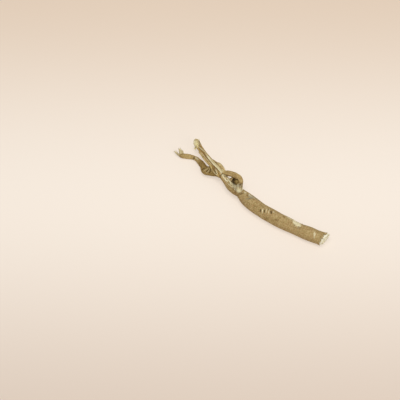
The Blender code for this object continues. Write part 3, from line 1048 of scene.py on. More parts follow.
class Socket:
    """A value in a material, on which Python's operators add Math nodes."""

    def __init__(self, graph: Graph, link: Any) -> None:
        """Wrap a node's output.

        Args:
            graph: The material's graph.
            link: The output.
        """
        self.graph = graph
        self.link = link

    def math(self, operation: str, *others: Socket | float) -> Socket:
        """A Math node that works on this value and the others."""
        values = {index: value for index, value in enumerate((self, *others))}
        return self.graph.add("ShaderNodeMath", {"operation": operation}, values)

    def __add__(self, other: Socket | float) -> Socket:
        """The sum."""
        return self.math("ADD", other)

    def __radd__(self, other: float) -> Socket:
        """The sum, with the number first."""
        return self.math("ADD", other)

    def __sub__(self, other: Socket | float) -> Socket:
        """The difference."""
        return self.math("SUBTRACT", other)

    def __rsub__(self, other: float) -> Socket:
        """A number less this value."""
        return self.graph.add("ShaderNodeMath", {"operation": "SUBTRACT"}, {0: other, 1: self})

    def __mul__(self, other: Socket | float) -> Socket:
        """The product."""
        return self.math("MULTIPLY", other)

    def __rmul__(self, other: float) -> Socket:
        """The product, with the number first."""
        return self.math("MULTIPLY", other)

    def clamped(self) -> Socket:
        """This value, kept between 0 and 1."""
        settings = {"operation": "ADD", "use_clamp": True}
        return self.graph.add("ShaderNodeMath", settings, {0: self, 1: 0.0})

    def between(self, low: float, high: float) -> Socket:
        """0 at low and below, 1 at high and above, with a straight climb between."""
        return ((self - low) * (1.0 / (high - low))).clamped()


# How strongly a material's bumps show, and how much dry wood and bark shine.
BUMP_STRENGTH = 0.8
DRY_GLOSS = 0.25


class Graph:
    """A material's nodes."""

    def __init__(self, name: str) -> None:
        """Start a material with a Principled shader.

        Args:
            name: The material's name.
        """
        self.material = bpy.data.materials.new(name)
        self.material.use_nodes = True
        self.tree = self.material.node_tree
        self.shader = self.tree.nodes["Principled BSDF"]

    def add(
        self,
        kind: str,
        settings: dict[str, Any] | None = None,
        sockets: dict[str | int, Any] | None = None,
        out: str | int = 0,
    ) -> Socket:
        """Add a node.

        Args:
            kind: The node's type.
            settings: Its properties, with a ramp's stops under "stops".
            sockets: Values or links of its inputs, by name or number.
            out: Which output to return.

        Returns:
            That output.
        """
        node = self.tree.nodes.new(kind)
        for name, value in (settings or {}).items():
            if name == "stops":
                self.set_stops(node.color_ramp, value)
            else:
                setattr(node, name, value)
        for name, value in (sockets or {}).items():
            self.feed(node.inputs[name], value)
        return Socket(self, node.outputs[out])

    @staticmethod
    def set_stops(ramp: Any, stops: Iterable[tuple[float, Row]]) -> None:
        """Give a colour ramp its stops.

        Args:
            ramp: The ramp.
            stops: Each stop's place and colour.
        """
        for index, (place, colour) in enumerate(stops):
            stop = ramp.elements[index] if index < 2 else ramp.elements.new(place)
            stop.position = place
            stop.color = colour

    def feed(self, target: Any, value: Any) -> None:
        """Set an input to a value, or link a socket to it.

        Args:
            target: The input.
            value: A number, a row or a socket.
        """
        if isinstance(value, Socket):
            self.tree.links.new(value.link, target)
        else:
            target.default_value = value

    def attribute(self, name: str, out: str = "Fac") -> Socket:
        """A value that the mesh carries on its points."""
        return self.add("ShaderNodeAttribute", {"attribute_name": name}, out=out)

    def times(self, vector: Socket, other: Socket | Row) -> Socket:
        """A vector or a colour times another, part by part."""
        settings = {"operation": "MULTIPLY"}
        return self.add("ShaderNodeVectorMath", settings, {0: vector, 1: other})

    def place(self, unit: float = MM) -> Socket:
        """The place on the object, in a unit given in metres."""
        return self.times(self.add("ShaderNodeTexCoord", out="Object"), (1 / unit,) * 3)

    def noise(
        self, vector: Socket, along: float, across: float, detail: float, roughness: float = 0.55
    ) -> Socket:
        """Noise from 0 to 1.

        Args:
            vector: Where it is read, in millimetres.
            along: Cycles a millimetre along the grain.
            across: Cycles a millimetre across it.
            detail: How many finer layers it has.
            roughness: How strong the finer layers are.

        Returns:
            The noise.
        """
        place = self.times(vector, (along, across, across))
        sockets = {"Vector": place, "Scale": 1.0, "Detail": detail, "Roughness": roughness}
        return self.add("ShaderNodeTexNoise", None, sockets, "Fac")

    def blend(self, low: Any, high: Any, factor: Socket | float) -> Socket:
        """A colour between two colours."""
        sockets = {"Factor": factor, 6: low, 7: high}
        return self.add("ShaderNodeMix", {"data_type": "RGBA"}, sockets, 2)

    def darken(self, colour: Socket, shade: Row, factor: Socket | float) -> Socket:
        """A colour times a shade, by a factor.

        Args:
            colour: The colour.
            shade: The shade.
            factor: From 0 to 1.

        Returns:
            The darker colour.
        """
        sockets = {"Factor": factor, 6: colour, 7: shade}
        settings = {"data_type": "RGBA", "blend_type": "MULTIPLY"}
        return self.add("ShaderNodeMix", settings, sockets, 2)

    def finish(
        self, colour: Socket, roughness: Socket, height: Socket, depth: float
    ) -> bpy.types.Material:
        """Join colour, roughness and bump to the shader.

        Args:
            colour: The base colour.
            roughness: The roughness.
            height: What the bump reads, from 0 to 1.
            depth: The bump's full height in millimetres.

        Returns:
            The material.
        """
        sockets = {"Strength": BUMP_STRENGTH, "Distance": depth * MM, "Height": height}
        bump = self.add("ShaderNodeBump", None, sockets)
        self.feed(self.shader.inputs["Base Color"], colour)
        self.feed(self.shader.inputs["Roughness"], roughness)
        self.feed(self.shader.inputs["Normal"], bump)
        self.shader.inputs["Specular IOR Level"].default_value = DRY_GLOSS
        return self.material


@dataclass(frozen=True)
class BarkFinish:
    """Dry bark: tan and brown, with bare wood, grey scars and dark slits, and painted shade in its
    furrows, where strands meet and in some of its marks.
    """

    tan: Row = linear(186, 160, 108)
    pale: Row = linear(202, 178, 130)
    brown: Row = linear(150, 122, 72)
    russet: Row = linear(178, 142, 96)
    olive: Row = linear(168, 152, 100)
    wood: Row = linear(230, 220, 180)
    wood_shadow: Row = linear(198, 180, 130)
    grey: Row = linear(146, 142, 122)
    light: Row = linear(237, 227, 190)
    stain: Row = linear(52, 36, 16)
    deep_brown: Row = linear(116, 84, 46)
    furrow_shade: Row = linear(176, 156, 128)

    def make(self) -> bpy.types.Material:
        """Layer the bark's colours, and what its points say of wood and marks.

        Returns:
            The material.
        """
        graph = Graph("dry_bark")
        grain = graph.attribute("grain", "Vector")
        place = graph.place()
        streaks = graph.noise(grain, 0.40, 0.85, 6.0, 0.65)
        threads = graph.noise(grain, 0.45, 5.5, 4.0, 0.6)
        strings = graph.noise(grain, 0.25, 1.9, 5.0, 0.6)
        bands = graph.noise(grain, 2.2, 0.35, 4.0, 0.6)
        blotches = graph.noise(place, 0.24, 0.24, 5.0, 0.65)
        mottle = graph.noise(place, 0.75, 0.75, 4.0, 0.65)
        specks = graph.noise(place, 1.1, 1.1, 5.0, 0.7)
        stops = [(0.34, self.brown), (0.47, self.tan), (0.56, self.tan), (0.68, self.pale)]
        bark = graph.add("ShaderNodeValToRGB", {"stops": stops}, {"Fac": streaks}, "Color")
        for texture, low, high, colour, share in (
            (blotches, 0.52, 0.76, self.russet, 0.5),
            (blotches, 0.48, 0.28, self.olive, 0.5),
            (mottle, 0.53, 0.66, self.russet, 0.85),
            (mottle, 0.47, 0.34, self.olive, 0.85),
            (bands, 0.53, 0.66, self.pale, 0.75),
            (bands, 0.47, 0.34, self.brown, 0.75),
            (specks, 0.54, 0.66, self.brown, 0.95),
            (specks, 0.45, 0.33, self.pale, 0.7),
        ):
            bark = graph.blend(bark, colour, texture.between(low, high) * share)
        stringy = graph.attribute("stringy")
        bark = graph.blend(bark, self.brown, strings.between(0.50, 0.64) * stringy * 0.7)
        bark = graph.blend(bark, self.pale, strings.between(0.48, 0.34) * stringy * 0.5)
        bark = graph.times(bark, graph.attribute("tint", "Vector"))
        # Painted shade: the bark darkens in its furrows and near joins between strands.
        bark = graph.darken(bark, self.furrow_shade, graph.attribute("furrow") * 0.8)
        wood_streaks = graph.noise(grain, 0.10, 2.6, 5.0, 0.6)
        wood = graph.blend(self.wood_shadow, self.wood, wood_streaks.between(0.34, 0.60))
        colour = graph.blend(bark, wood, graph.attribute("bare"))
        # The grey mark: grey scars and spots, and painted shade on the arm's far edge and the stump's
        # top.
        grey = graph.attribute("grey") * (0.55 + 0.45 * threads)
        colour = graph.blend(colour, self.grey, grey.clamped())
        # The light mark: pale wood, chips and strips, and a painted highlight on the bump by the grey
        # scar.
        light = graph.attribute("light") * (1.35 - 1.1 * specks)
        colour = graph.blend(colour, self.light, light.clamped())
        # The brown mark: brown streaks and patches, and painted shade along the arch's underside.
        colour = graph.blend(colour, self.deep_brown, graph.attribute("brown") * 0.8)
        # The dark mark: dark slits and spots, and painted shade under the stump, inside the arch, where
        # the neck meets the ridge and in the fan's hollows.
        colour = graph.blend(colour, self.stain, graph.attribute("dark") * 0.9)
        roughness = (0.70 + 0.25 * threads).clamped()
        height = 0.6 * threads + 0.4 * specks
        return graph.finish(colour, roughness, height, 0.12)


@dataclass(frozen=True)
class FibreFinish:
    """Torn wood fibres: cream to straw, darker towards their roots."""

    name: str
    straw: Row = linear(158, 142, 104)
    cream: Row = linear(228, 220, 184)
    root: Row = linear(172, 155, 112)

    def make(self) -> bpy.types.Material:
        """Blend the fibres' colours along their length.

        Returns:
            The material.
        """
        graph = Graph(self.name)
        place = graph.place()
        tone = graph.attribute("tone")
        mottle = graph.noise(place, 0.9, 0.9, 4.0)
        fine = graph.noise(place, 6.0, 6.0, 3.0)
        colour = graph.blend(self.straw, self.cream, (0.7 * tone + 0.5 * mottle).between(0.3, 0.85))
        colour = graph.blend(self.root, colour, graph.attribute("reach").between(0.0, 0.45))
        roughness = (0.62 + 0.25 * fine).clamped()
        return graph.finish(colour, roughness, fine, 0.05)


TORN_FIBRES = FibreFinish("torn_fibres")
TIP_FIBRES = FibreFinish(
    "tip_fibres", linear(234, 217, 156), linear(250, 240, 190), linear(224, 204, 144)
)
THIN_FIBRES = FibreFinish("thin_fibres", linear(184, 164, 116), linear(214, 199, 156))
SAWN_FIBRES = FibreFinish(
    "sawn_fibres", linear(206, 188, 136), linear(234, 224, 182), linear(222, 212, 172)
)


@dataclass(frozen=True)
class SawnWoodFinish:
    """Sawn wood: cream with faint growth rings and pores, browner next to the bark."""

    cream: Row = linear(246, 242, 220)
    straw: Row = linear(234, 226, 194)
    ring: Row = linear(206, 190, 146)
    rim: Row = linear(140, 116, 74)

    def make(self) -> bpy.types.Material:
        """Lay rings, pores and the brown rim over the wood.

        Returns:
            The material.
        """
        graph = Graph("sawn_wood")
        place = graph.place()
        radius = graph.attribute("radius")
        mottle = graph.noise(place, 0.8, 0.8, 4.0)
        pores = graph.noise(place, 4.5, 4.5, 4.0, 0.7)
        rings = ((radius + 0.25 * mottle) * 9.0).math("SINE")
        colour = graph.blend(self.cream, self.straw, mottle.between(0.42, 0.66) * 0.7)
        colour = graph.blend(colour, self.ring, rings.between(0.55, 1.0) * 0.3)
        colour = graph.blend(colour, self.ring, pores.between(0.60, 0.72) * 0.35)
        edge = (radius + 0.12 * mottle).between(1.35, 1.80)
        colour = graph.blend(colour, self.rim, edge)
        return graph.finish(colour, (0.75 + 0.2 * pores).clamped(), pores, 0.10)


def mesh_from(name: str, points: np.ndarray, faces: Faces) -> bpy.types.Mesh:
    """A mesh in metres from points in millimetres.

    Args:
        name: The piece's name.
        points: Rows of x, y and z.
        faces: The points that each face joins.

    Returns:
        The mesh.
    """
    mesh = bpy.data.meshes.new(name)
    mesh.from_pydata((points * MM).tolist(), [], faces)
    mesh.update()
    return mesh


def put_values(mesh: bpy.types.Mesh, name: str, values: np.ndarray) -> None:
    """Give a mesh one number, or one vector, on each point.

    Args:
        mesh: The mesh.
        name: What the material reads them by.
        values: The numbers or vectors.
    """
    kind, slot = ("FLOAT", "value") if values.ndim == 1 else ("FLOAT_VECTOR", "vector")
    layer = mesh.attributes.new(name, kind, "POINT")
    layer.data.foreach_set(slot, values.astype(np.float32).ravel())


def vectors_of(mesh: bpy.types.Mesh, name: str) -> np.ndarray:
    """A vector of each of a mesh's points, as rows.

    Args:
        mesh: The mesh.
        name: Which vector, such as its place.

    Returns:
        The vectors.
    """
    values = np.empty(len(mesh.vertices) * 3)
    mesh.vertices.foreach_get(name, values)
    return values.reshape(-1, 3)


def keep_above(points: np.ndarray, lowest: float) -> None:
    """Lift the points that lie below a height to that height."""
    points[:, 2] = np.maximum(points[:, 2], lowest)


def add_piece(name: str, mesh: bpy.types.Mesh, material: bpy.types.Material) -> bpy.types.Object:
    """A smooth-shaded piece that rides on the root, with the material it is given.

    Args:
        name: The piece's name.
        mesh: The mesh.
        material: What it is made of.

    Returns:
        The piece.
    """
    piece = bpy.data.objects.new(name, mesh)
    bpy.context.scene.collection.objects.link(piece)
    mesh.materials.clear()
    mesh.materials.append(material)
    mesh.shade_smooth()
    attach(piece, BODY)
    log.info("%s: %d triangles", name, sum(len(face.vertices) - 2 for face in mesh.polygons))
    return piece


def ring_faces(rings: int, sides: int, first: int) -> Faces:
    """Quads between rings of points, and a cap on each end.

    Args:
        rings: How many rings.
        sides: How many points in a ring.
        first: The number of the first ring's first point.

    Returns:
        The faces.
    """
    faces: Faces = []
    for ring in range(rings - 1):
        low = first + ring * sides
        for side in range(sides):
            after = (side + 1) % sides
            faces.append((low + side, low + after, low + sides + after, low + sides + side))
    faces.append(tuple(first + side for side in reversed(range(sides))))
    faces.append(tuple(first + (rings - 1) * sides + side for side in range(sides)))
    return faces


@dataclass
class RootBark:
    """The whole grown root as one fine skin, which stands for the CAD root."""

    skeleton: Skeleton
    relief: Relief
    saw_cut: SawCut
    stem_sides: int = 64
    strand_sides: int = 28
    fewest_rings: int = 6
    ring_gap: float = 0.45
    chips: Layer = Layer(0.60, 0.60, 21.0)
    fine_chips: Layer = Layer(1.9, 1.9, 22.0)
    fine_chip_share: float = 0.7
    voxel: float = 0.23
    smoothing: float = 0.5
    rounds_of_smoothing: int = 2
    mark_edges: Layer = Layer(0.9, 0.9, 31.0)
    # Painted shade near joins between strands and in the bark's furrows: its reach from a join, its
    # strength there, how much bare wood gives way to bark there, and the furrow depths it spans.
    crease_reach: float = 0.42
    crease_shade: float = 0.8
    crease_on_wood: float = 0.6
    furrow_depths: Span = (0.0, -0.22)

    def lofts(self) -> tuple[np.ndarray, Faces]:
        """Every strand's closed loft, with the relief of its section.

        Returns:
            Points and faces of all of them.
        """
        points: list[np.ndarray] = []
        faces: Faces = []
        count = 0
        for line in self.skeleton.lines:
            sides = self.stem_sides if line.strand.cover is Cover.STEM else self.strand_sides
            rings = max(self.fewest_rings, round(line.along[-1] / self.ring_gap))
            angle = angles_round(sides)
            if line.strand is STEM:
                along = self.sawn_rings(line, rings, angle)
            else:
                along = np.repeat(np.linspace(0, line.along[-1], rings)[:, None], sides, axis=1)
            angles = np.repeat(angle[None, :], rings, axis=0)
            lift = self.relief.form(line, along, angles)
            points.append(line.surface(along, angles, lift).reshape(-1, 3))
            faces.extend(ring_faces(rings, sides, count))
            count += rings * sides
        return np.concatenate(points), faces

    def sawn_rings(self, line: CentreLine, rings: int, angle: np.ndarray) -> np.ndarray:
        """Distances of the stem's rings, which lean to the saw cut and are chipped at its edge.

        Args:
            line: The stem's centre line.
            rings: How many rings.
            angle: The angles in a ring.

        Returns:
            A distance for each ring and angle.
        """
        edge = circle(angle, SAWN_RADIUS)
        chips = np.abs(self.chips.read(edge))
        chips += self.fine_chip_share * np.abs(self.fine_chips.read(edge))
        start = self.saw_cut.start(line, angle, self.saw_cut.bark_back, 1.0)
        start = start + self.saw_cut.chip * chips
        middle = float(np.mean(start))
        plain = np.linspace(middle, line.along[-1], rings)[:, None]
        fading = 1 - smoothstep(0.0, self.saw_cut.lean_length, plain - middle)
        return plain + fading * (start - middle)[None, :]

    def remeshed(self) -> bpy.types.Mesh:
        """All lofts fused into one even skin, still in millimetres.

        Returns:
            The skin's mesh.
        """
        points, faces = self.lofts()
        mesh = bpy.data.meshes.new("strands")
        mesh.from_pydata(points.tolist(), [], faces)
        holder = bpy.data.objects.new("strands", mesh)
        bpy.context.scene.collection.objects.link(holder)
        remesh = holder.modifiers.new("remesh", "REMESH")
        remesh.mode = "VOXEL"
        remesh.voxel_size = self.voxel
        smooth = holder.modifiers.new("smooth", "SMOOTH")
        smooth.factor = self.smoothing
        smooth.iterations = self.rounds_of_smoothing
        evaluated = holder.evaluated_get(bpy.context.evaluated_depsgraph_get())
        skin = bpy.data.meshes.new_from_object(evaluated)
        bpy.data.objects.remove(holder)
        bpy.data.meshes.remove(mesh)
        return skin

    def marked(
        self, points: np.ndarray, located: Located
    ) -> tuple[dict[Mark, np.ndarray], np.ndarray]:
        """What the patches and creases leave on the skin.

        Args:
            points: The skin's points.
            located: Where they lie on the strands.

        Returns:
            How strongly each point carries each mark, and how far the marks lift it.
        """
        rough = self.mark_edges.read(points)
        shares = [(patch, patch.share(self.skeleton, located, rough)) for patch in PATCHES]
        shares += [(crease, crease.share(points)) for crease in CREASES]
        marks = {mark: np.zeros(len(points)) for mark in Mark}
        lift = np.zeros(len(points))
        for piece, share in shares:
            marks[piece.mark] = np.maximum(marks[piece.mark], share)
            lift += piece.lift * share
        return marks, lift

    def build(self, material: bpy.types.Material) -> bpy.types.Object:
        """Make the skin, carve it and give its points what the material reads.

        Args:
            material: The bark's material.

        Returns:
            The piece.
        """
        skin = self.remeshed()
        points = vectors_of(skin, "co")
        normals = vectors_of(skin, "normal")
        located = self.skeleton.locate(points)
        marks, lift = self.marked(points, located)
        bare_strand = self.relief.covered(located, Cover.BARE)
        bare = np.maximum(marks[Mark.BARE], bare_strand) * (1 - marks[Mark.BARK])
        bark = self.relief.bark(located)
        height = (1 - bare) * bark + bare * self.relief.fibres(located) + lift
        points += normals * height[:, None]
        keep_above(points, 0.0)
        skin.vertices.foreach_set("co", (points * MM).ravel())
        skin.update()
        # Painted shade: darker in the bark's deep furrows and near joins between strands, where bare
        # wood also gives way to bark.
        crease = np.exp(-((np.clip(located.other, 0, None) / self.crease_reach) ** 2))
        furrow = smoothstep(*self.furrow_depths, bark) + self.crease_shade * crease
        marks[Mark.BARE] = bare * (1 - self.crease_on_wood * crease)
        put_values(skin, "grain", self.relief.grain(located))
        put_values(skin, "furrow", np.clip(furrow, 0, 1))
        put_values(skin, "tint", self.tints(located))
        put_values(skin, "stringy", 1 - self.relief.plain_stem(located))
        for mark in SHOWN_MARKS:
            put_values(skin, mark.value, marks[mark])
        piece = add_piece("root_bark", skin, material)
        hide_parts(NODE)
        return piece

    def tints(self, located: Located) -> np.ndarray:
        """Each point's tint, by its strand.

        Args:
            located: Where the points lie on the strands.

        Returns:
            Rows of red, green and blue.
        """
        rows = np.ones((len(located.along), 3))
        for number, line in enumerate(self.skeleton.lines):
            if line.strand.name in STRAND_TINTS:
                here = located.strand == number
                rows[here] = STRAND_TINTS[line.strand.name].at(located.along[here])
        return rows


@dataclass
class SawnWood:
    """The wood that shows at the sawn end, standing a little proud of the chipped bark.

    Its share of the stem's radius leaves room for the bark. The wall is how far behind the face each
    ring behind it lies.
    """

    skeleton: Skeleton
    saw_cut: SawCut
    share: float = 0.93
    rings: int = 40
    sides: int = 180
    wall: Row = (0.25, 0.8, 3.0)
    wall_browning: float = 0.3
    wobble: Layer = Layer(2.2, 2.2, 51.0)
    wobble_depth: float = 0.03
    torn: Layer = Layer(1.6, 1.6, 52.0)
    torn_depth: float = 0.10
    saw_marks: Layer = Layer(4.5, 4.5, 53.0)
    saw_mark_depth: float = 0.06
    broken_rim: Layer = Layer(1.1, 1.1, 54.0)
    broken_depth: float = 0.45
    broken_more: float = 0.2
    rim: Span = (0.80, 1.0)

    def build(self, material: bpy.types.Material) -> bpy.types.Object:
        """Make the sawn face and the short wall behind it.

        Args:
            material: The sawn wood's material.

        Returns:
            The piece.
        """
        line = self.skeleton.line("stem")
        angle = angles_round(self.sides)
        wobble = 1 + self.wobble_depth * self.wobble.read(circle(angle, 1.0))
        rows, radii = [], []
        for ring in range(1, self.rings + 1):
            part = ring / self.rings
            rows.append(self.face_row(line, angle, part * self.share * wobble, part))
            radii.append(np.full(self.sides, part))
        edge = self.saw_cut.start(line, angle, 0.0, self.share)
        for step in self.wall:
            along = edge + step
            lift = (self.share * wobble - 1) * line.at(line.radius, along)
            rows.append(line.surface(along, angle, lift))
            radii.append(np.full(self.sides, 1.0 + self.wall_browning * step))
        mesh = mesh_from("sawn_wood", np.concatenate(rows), ring_faces(len(rows), self.sides, 0))
        put_values(mesh, "radius", np.concatenate(radii))
        return add_piece("sawn_wood", mesh, material)

    def face_row(
        self, line: CentreLine, angle: np.ndarray, reach: np.ndarray, part: float
    ) -> np.ndarray:
        """One ring of points on the sawn face, with saw marks and torn fibre ends.

        Args:
            line: The stem's centre line.
            angle: The ring's angles.
            reach: The ring's share of the stem's radius at each angle.
            part: The ring's place from the middle, 0, to the rim, 1.

        Returns:
            The points.
        """
        outward = circle(angle, SAWN_RADIUS * part)
        torn = self.torn_depth * self.torn.read(outward)
        torn += self.saw_mark_depth * self.saw_marks.read(outward)
        broken = np.clip(self.broken_rim.read(outward) + self.broken_more, 0, 1)
        torn -= smoothstep(*self.rim, np.array(part)) * self.broken_depth * broken
        along = self.saw_cut.start(line, angle, 0.0, part * self.share) - torn
        return line.surface(along, angle, (reach - 1) * line.at(line.radius, along))


@dataclass
class SliverMesh:
    """Collects thin tapered slivers of wood into one mesh, all of it above the surface."""

    name: str
    sides: int = 5
    lowest: float = 0.02
    upright: Row = (0.12, 0.2, 1.0)
    points: list[np.ndarray] = field(default_factory=list)
    faces: Faces = field(default_factory=list)
    tone: list[np.ndarray] = field(default_factory=list)
    reach: list[np.ndarray] = field(default_factory=list)
    count: int = 0

    def add(
        self, path: np.ndarray, widths: np.ndarray, flatness: float, roll: float, tone: float
    ) -> None:
        """Add one sliver.

        Args:
            path: Its centre points.
            widths: Its half width at each.
            flatness: Its thickness as a share of its width.
            roll: Its turn about its own length.
            tone: How pale it is, from 0 to 1.
        """
        ahead = np.gradient(path, axis=0)
        ahead /= np.linalg.norm(ahead, axis=1)[:, None]
        side = np.cross(ahead, self.upright)
        side /= np.linalg.norm(side, axis=1)[:, None]
        above = np.cross(side, ahead)
        angle = angles_round(self.sides)
        wide = np.cos(angle)[None, :, None]
        thick = flatness * np.sin(angle)[None, :, None]
        turned_side = math.cos(roll) * side + math.sin(roll) * above
        turned_above = math.cos(roll) * above - math.sin(roll) * side
        ring = path[:, None, :] + widths[:, None, None] * (
            wide * turned_side[:, None, :] + thick * turned_above[:, None, :]
        )
        self.points.append(ring.reshape(-1, 3))
        self.faces.extend(ring_faces(len(path), self.sides, self.count))
        self.tone.append(np.full(len(path) * self.sides, tone))
        self.reach.append(np.repeat(np.linspace(0, 1, len(path)), self.sides))
        self.count += len(path) * self.sides

    def finish(self, material: bpy.types.Material) -> bpy.types.Object:
        """Make the piece.

        Args:
            material: The fibres' material.

        Returns:
            The piece.
        """
        points = np.concatenate(self.points)
        keep_above(points, self.lowest)
        mesh = mesh_from(self.name, points, self.faces)
        put_values(mesh, "tone", np.concatenate(self.tone))
        put_values(mesh, "reach", np.concatenate(self.reach))
        return add_piece(self.name, mesh, material)


@dataclass(frozen=True)
class Tuft:
    """Fibres that lie along a strand, with their ends splayed.

    Start and end are shares of the strand's length, and the overshoot is how far an end may pass the
    strand's own end. The turns are the least and greatest angle at which a fibre lies. A piece draws
    from the seed of its first tuft.
    """

    seed: int
    count: int
    spread: float
    start: float
    end: float
    thickness: float
    overshoot: float
    turns: Span = ALL_ROUND


@dataclass
class Fraying:
    """Loose fibres round the arm's tip, at the rootlet's end, on the stub and by the sawn end."""

    skeleton: Skeleton
    saw_cut: SawCut

    # What the fibres of every tuft share
    steps: int = 8
    late_start: float = 0.35
    overshoots: Span = (-0.25, 1.0)
    drifts: Span = (-0.5, 0.5)
    base_rise: float = 0.02
    splays: Span = (0.1, 1.0)
    splay_power: float = 2.2
    sunk: float = 0.3
    bend: float = 0.25
    widths: Span = (0.6, 1.3)
    taper: float = 1.05
    taper_power: float = 1.6
    flatness: Span = (0.4, 0.8)
    thinnest: float = 0.03

    # The tufts, of which the tip's brush leaves its brown far side free
    tip_brush: Tuft = Tuft(7, 34, 0.25, 0.935, 0.985, 0.20, 1.0, (1.6, 2 * math.pi))
    tip_tuft: Tuft = Tuft(7, 16, 0.35, 0.0, 1.0, 0.16, 0.7)
    rootlet_tuft: Tuft = Tuft(11, 15, 0.5, 0.0, 1.0, 0.14, 0.9)
    stub_tuft: Tuft = Tuft(13, 13, 0.4, 0.0, 1.0, 0.18, 0.9)

    # Threads torn along the bare neck
    threads: int = 26
    thread_starts: Span = (74.0, 86.0)
    thread_lengths: Span = (2.0, 5.5)
    thread_degrees: Span = (15.0, 80.0)
    thread_drift: float = 0.1
    thread_lifts: Span = (-0.05, 0.05)
    thread_ends: Span = (0.0, 0.35)
    thread_widths: Span = (0.07, 0.16)
    thread_tones: Span = (0.7, 1.0)
    loose_flatness: float = 0.6
    loose_rolls: Span = (0.0, 3.0)

    # Short fibres that stand out of the sawn face
    sawn_seed: int = 17
    sawn_fibres: int = 150
    sawn_sides: int = 4
    sawn_steps: int = 5
    sawn_inside: float = 0.9
    sawn_areas: Span = (0.25, 1.0)
    sawn_root: float = 0.5
    sawn_lengths: Span = (0.15, 0.55)
    sawn_longer: float = 0.5
    sawn_longer_share: float = 0.12
    sawn_drifts: Span = (-0.2, 0.2)
    sawn_widths: Span = (0.06, 0.15)
    sawn_taper: float = 1.1
    sawn_thinnest: float = 0.02

    def along_strand(self, slivers: SliverMesh, draw: random.Random, name: str, tuft: Tuft) -> None:
        """Lay a tuft's fibres along a strand's surface.

        Args:
            slivers: The mesh that takes them.
            draw: The seeded source of random numbers.
            name: The strand's name.
            tuft: The tuft.
        """
        line = self.skeleton.line(name)
        length = line.along[-1]
        latest = tuft.start + self.late_start * (tuft.end - tuft.start)
        for _ in range(tuft.count):
            first = length * draw.uniform(tuft.start, latest)
            last = length * tuft.end + draw.uniform(*self.overshoots) * tuft.overshoot
            share = np.linspace(0, 1, self.steps)
            reach = first + (last - first) * share
            inside = np.minimum(reach, length)
            angle = draw.uniform(*tuft.turns) + draw.uniform(*self.drifts) * share
            splay = tuft.spread * draw.uniform(*self.splays) * share**self.splay_power
            rise = self.base_rise + splay - self.sunk * tuft.thickness
            path = line.surface(inside, angle, rise)
            path += (reach - inside)[:, None] * line.ahead[-1]
            bend = np.array([draw.gauss(0, 1) for _ in range(3)]) * self.bend * tuft.spread
            path += (share**2)[:, None] * bend
            taper = self.taper - share**self.taper_power
            widths = tuft.thickness * draw.uniform(*self.widths) * taper
            flatness = draw.uniform(*self.flatness)
            roll = draw.uniform(0, math.pi)
            slivers.add(path, np.maximum(widths, self.thinnest), flatness, roll, draw.random())

    def tip(self, material: bpy.types.Material) -> bpy.types.Object:
        """The brush of pale fibres round the arm's tip.

        Args:
            material: The fibres' material.

        Returns:
            The piece.
        """
        draw = random.Random(self.tip_brush.seed)
        slivers = SliverMesh("tip_fibres")
        self.along_strand(slivers, draw, "stem", self.tip_brush)
        for strand in TIP_SPLINTERS:
            self.along_strand(slivers, draw, strand.name, self.tip_tuft)
        return slivers.finish(material)

    def rootlet(self, material: bpy.types.Material) -> bpy.types.Object:
        """The frayed tufts at the rootlet's end.

        Args:
            material: The fibres' material.

        Returns:
            The piece.
        """
        draw = random.Random(self.rootlet_tuft.seed)
        slivers = SliverMesh("rootlet_fibres")
        for strand in FRAYED_FIBRES:
            self.along_strand(slivers, draw, strand.name, self.rootlet_tuft)
        return slivers.finish(material)

    def stub(self, material: bpy.types.Material) -> bpy.types.Object:
        """The broken stub's splinters, and threads torn along the bare neck.

        Args:
            material: The fibres' material.

        Returns:
            The piece.
        """
        draw = random.Random(self.stub_tuft.seed)
        slivers = SliverMesh("stub_splinters")
        for strand in STUB_SPLINTERS:
            self.along_strand(slivers, draw, strand.name, self.stub_tuft)
        line = self.skeleton.line("stem")
        share = np.linspace(0, 1, self.steps)
        for _ in range(self.threads):
            first = draw.uniform(*self.thread_starts)
            reach = first + draw.uniform(*self.thread_lengths) * share
            angle = math.radians(draw.uniform(*self.thread_degrees)) + self.thread_drift * share
            rise = draw.uniform(*self.thread_lifts) + draw.uniform(*self.thread_ends) * share**3
            path = line.surface(reach, angle, rise)
            widths = draw.uniform(*self.thread_widths) * (self.taper - share**2)
            tone = draw.uniform(*self.thread_tones)
            roll = draw.uniform(*self.loose_rolls)
            slivers.add(path, np.maximum(widths, self.thinnest), self.loose_flatness, roll, tone)
        return slivers.finish(material)

    def sawn_rim(self, material: bpy.types.Material) -> bpy.types.Object:
        """Short torn fibres that stand out of the sawn face and its rim.

        Args:
            material: The fibres' material.

        Returns:
            The piece.
        """
        draw = random.Random(self.sawn_seed)
        slivers = SliverMesh("sawn_fibres", self.sawn_sides)
        line = self.skeleton.line("stem")
        share = np.linspace(0, 1, self.sawn_steps)
        for _ in range(self.sawn_fibres):
            angle = draw.uniform(*ALL_ROUND)
            part = self.sawn_inside * math.sqrt(draw.uniform(*self.sawn_areas))
            start = float(self.saw_cut.start(line, np.array(angle), 0.0, part))
            length = draw.uniform(*self.sawn_lengths)
            length += self.sawn_longer if draw.random() < self.sawn_longer_share else 0.0
            reach = start + self.sawn_root - (self.sawn_root + length) * share
            lift = (part - 1) * line.at(line.radius, reach)
            lift += draw.uniform(*self.sawn_drifts) * share
            path = line.surface(reach, np.full(self.sawn_steps, angle), lift)
            widths = draw.uniform(*self.sawn_widths) * (self.sawn_taper - share)
            widths = np.maximum(widths, self.sawn_thinnest)
            roll = draw.uniform(*self.loose_rolls)
            slivers.add(path, widths, self.loose_flatness, roll, draw.random())
        return slivers.finish(material)


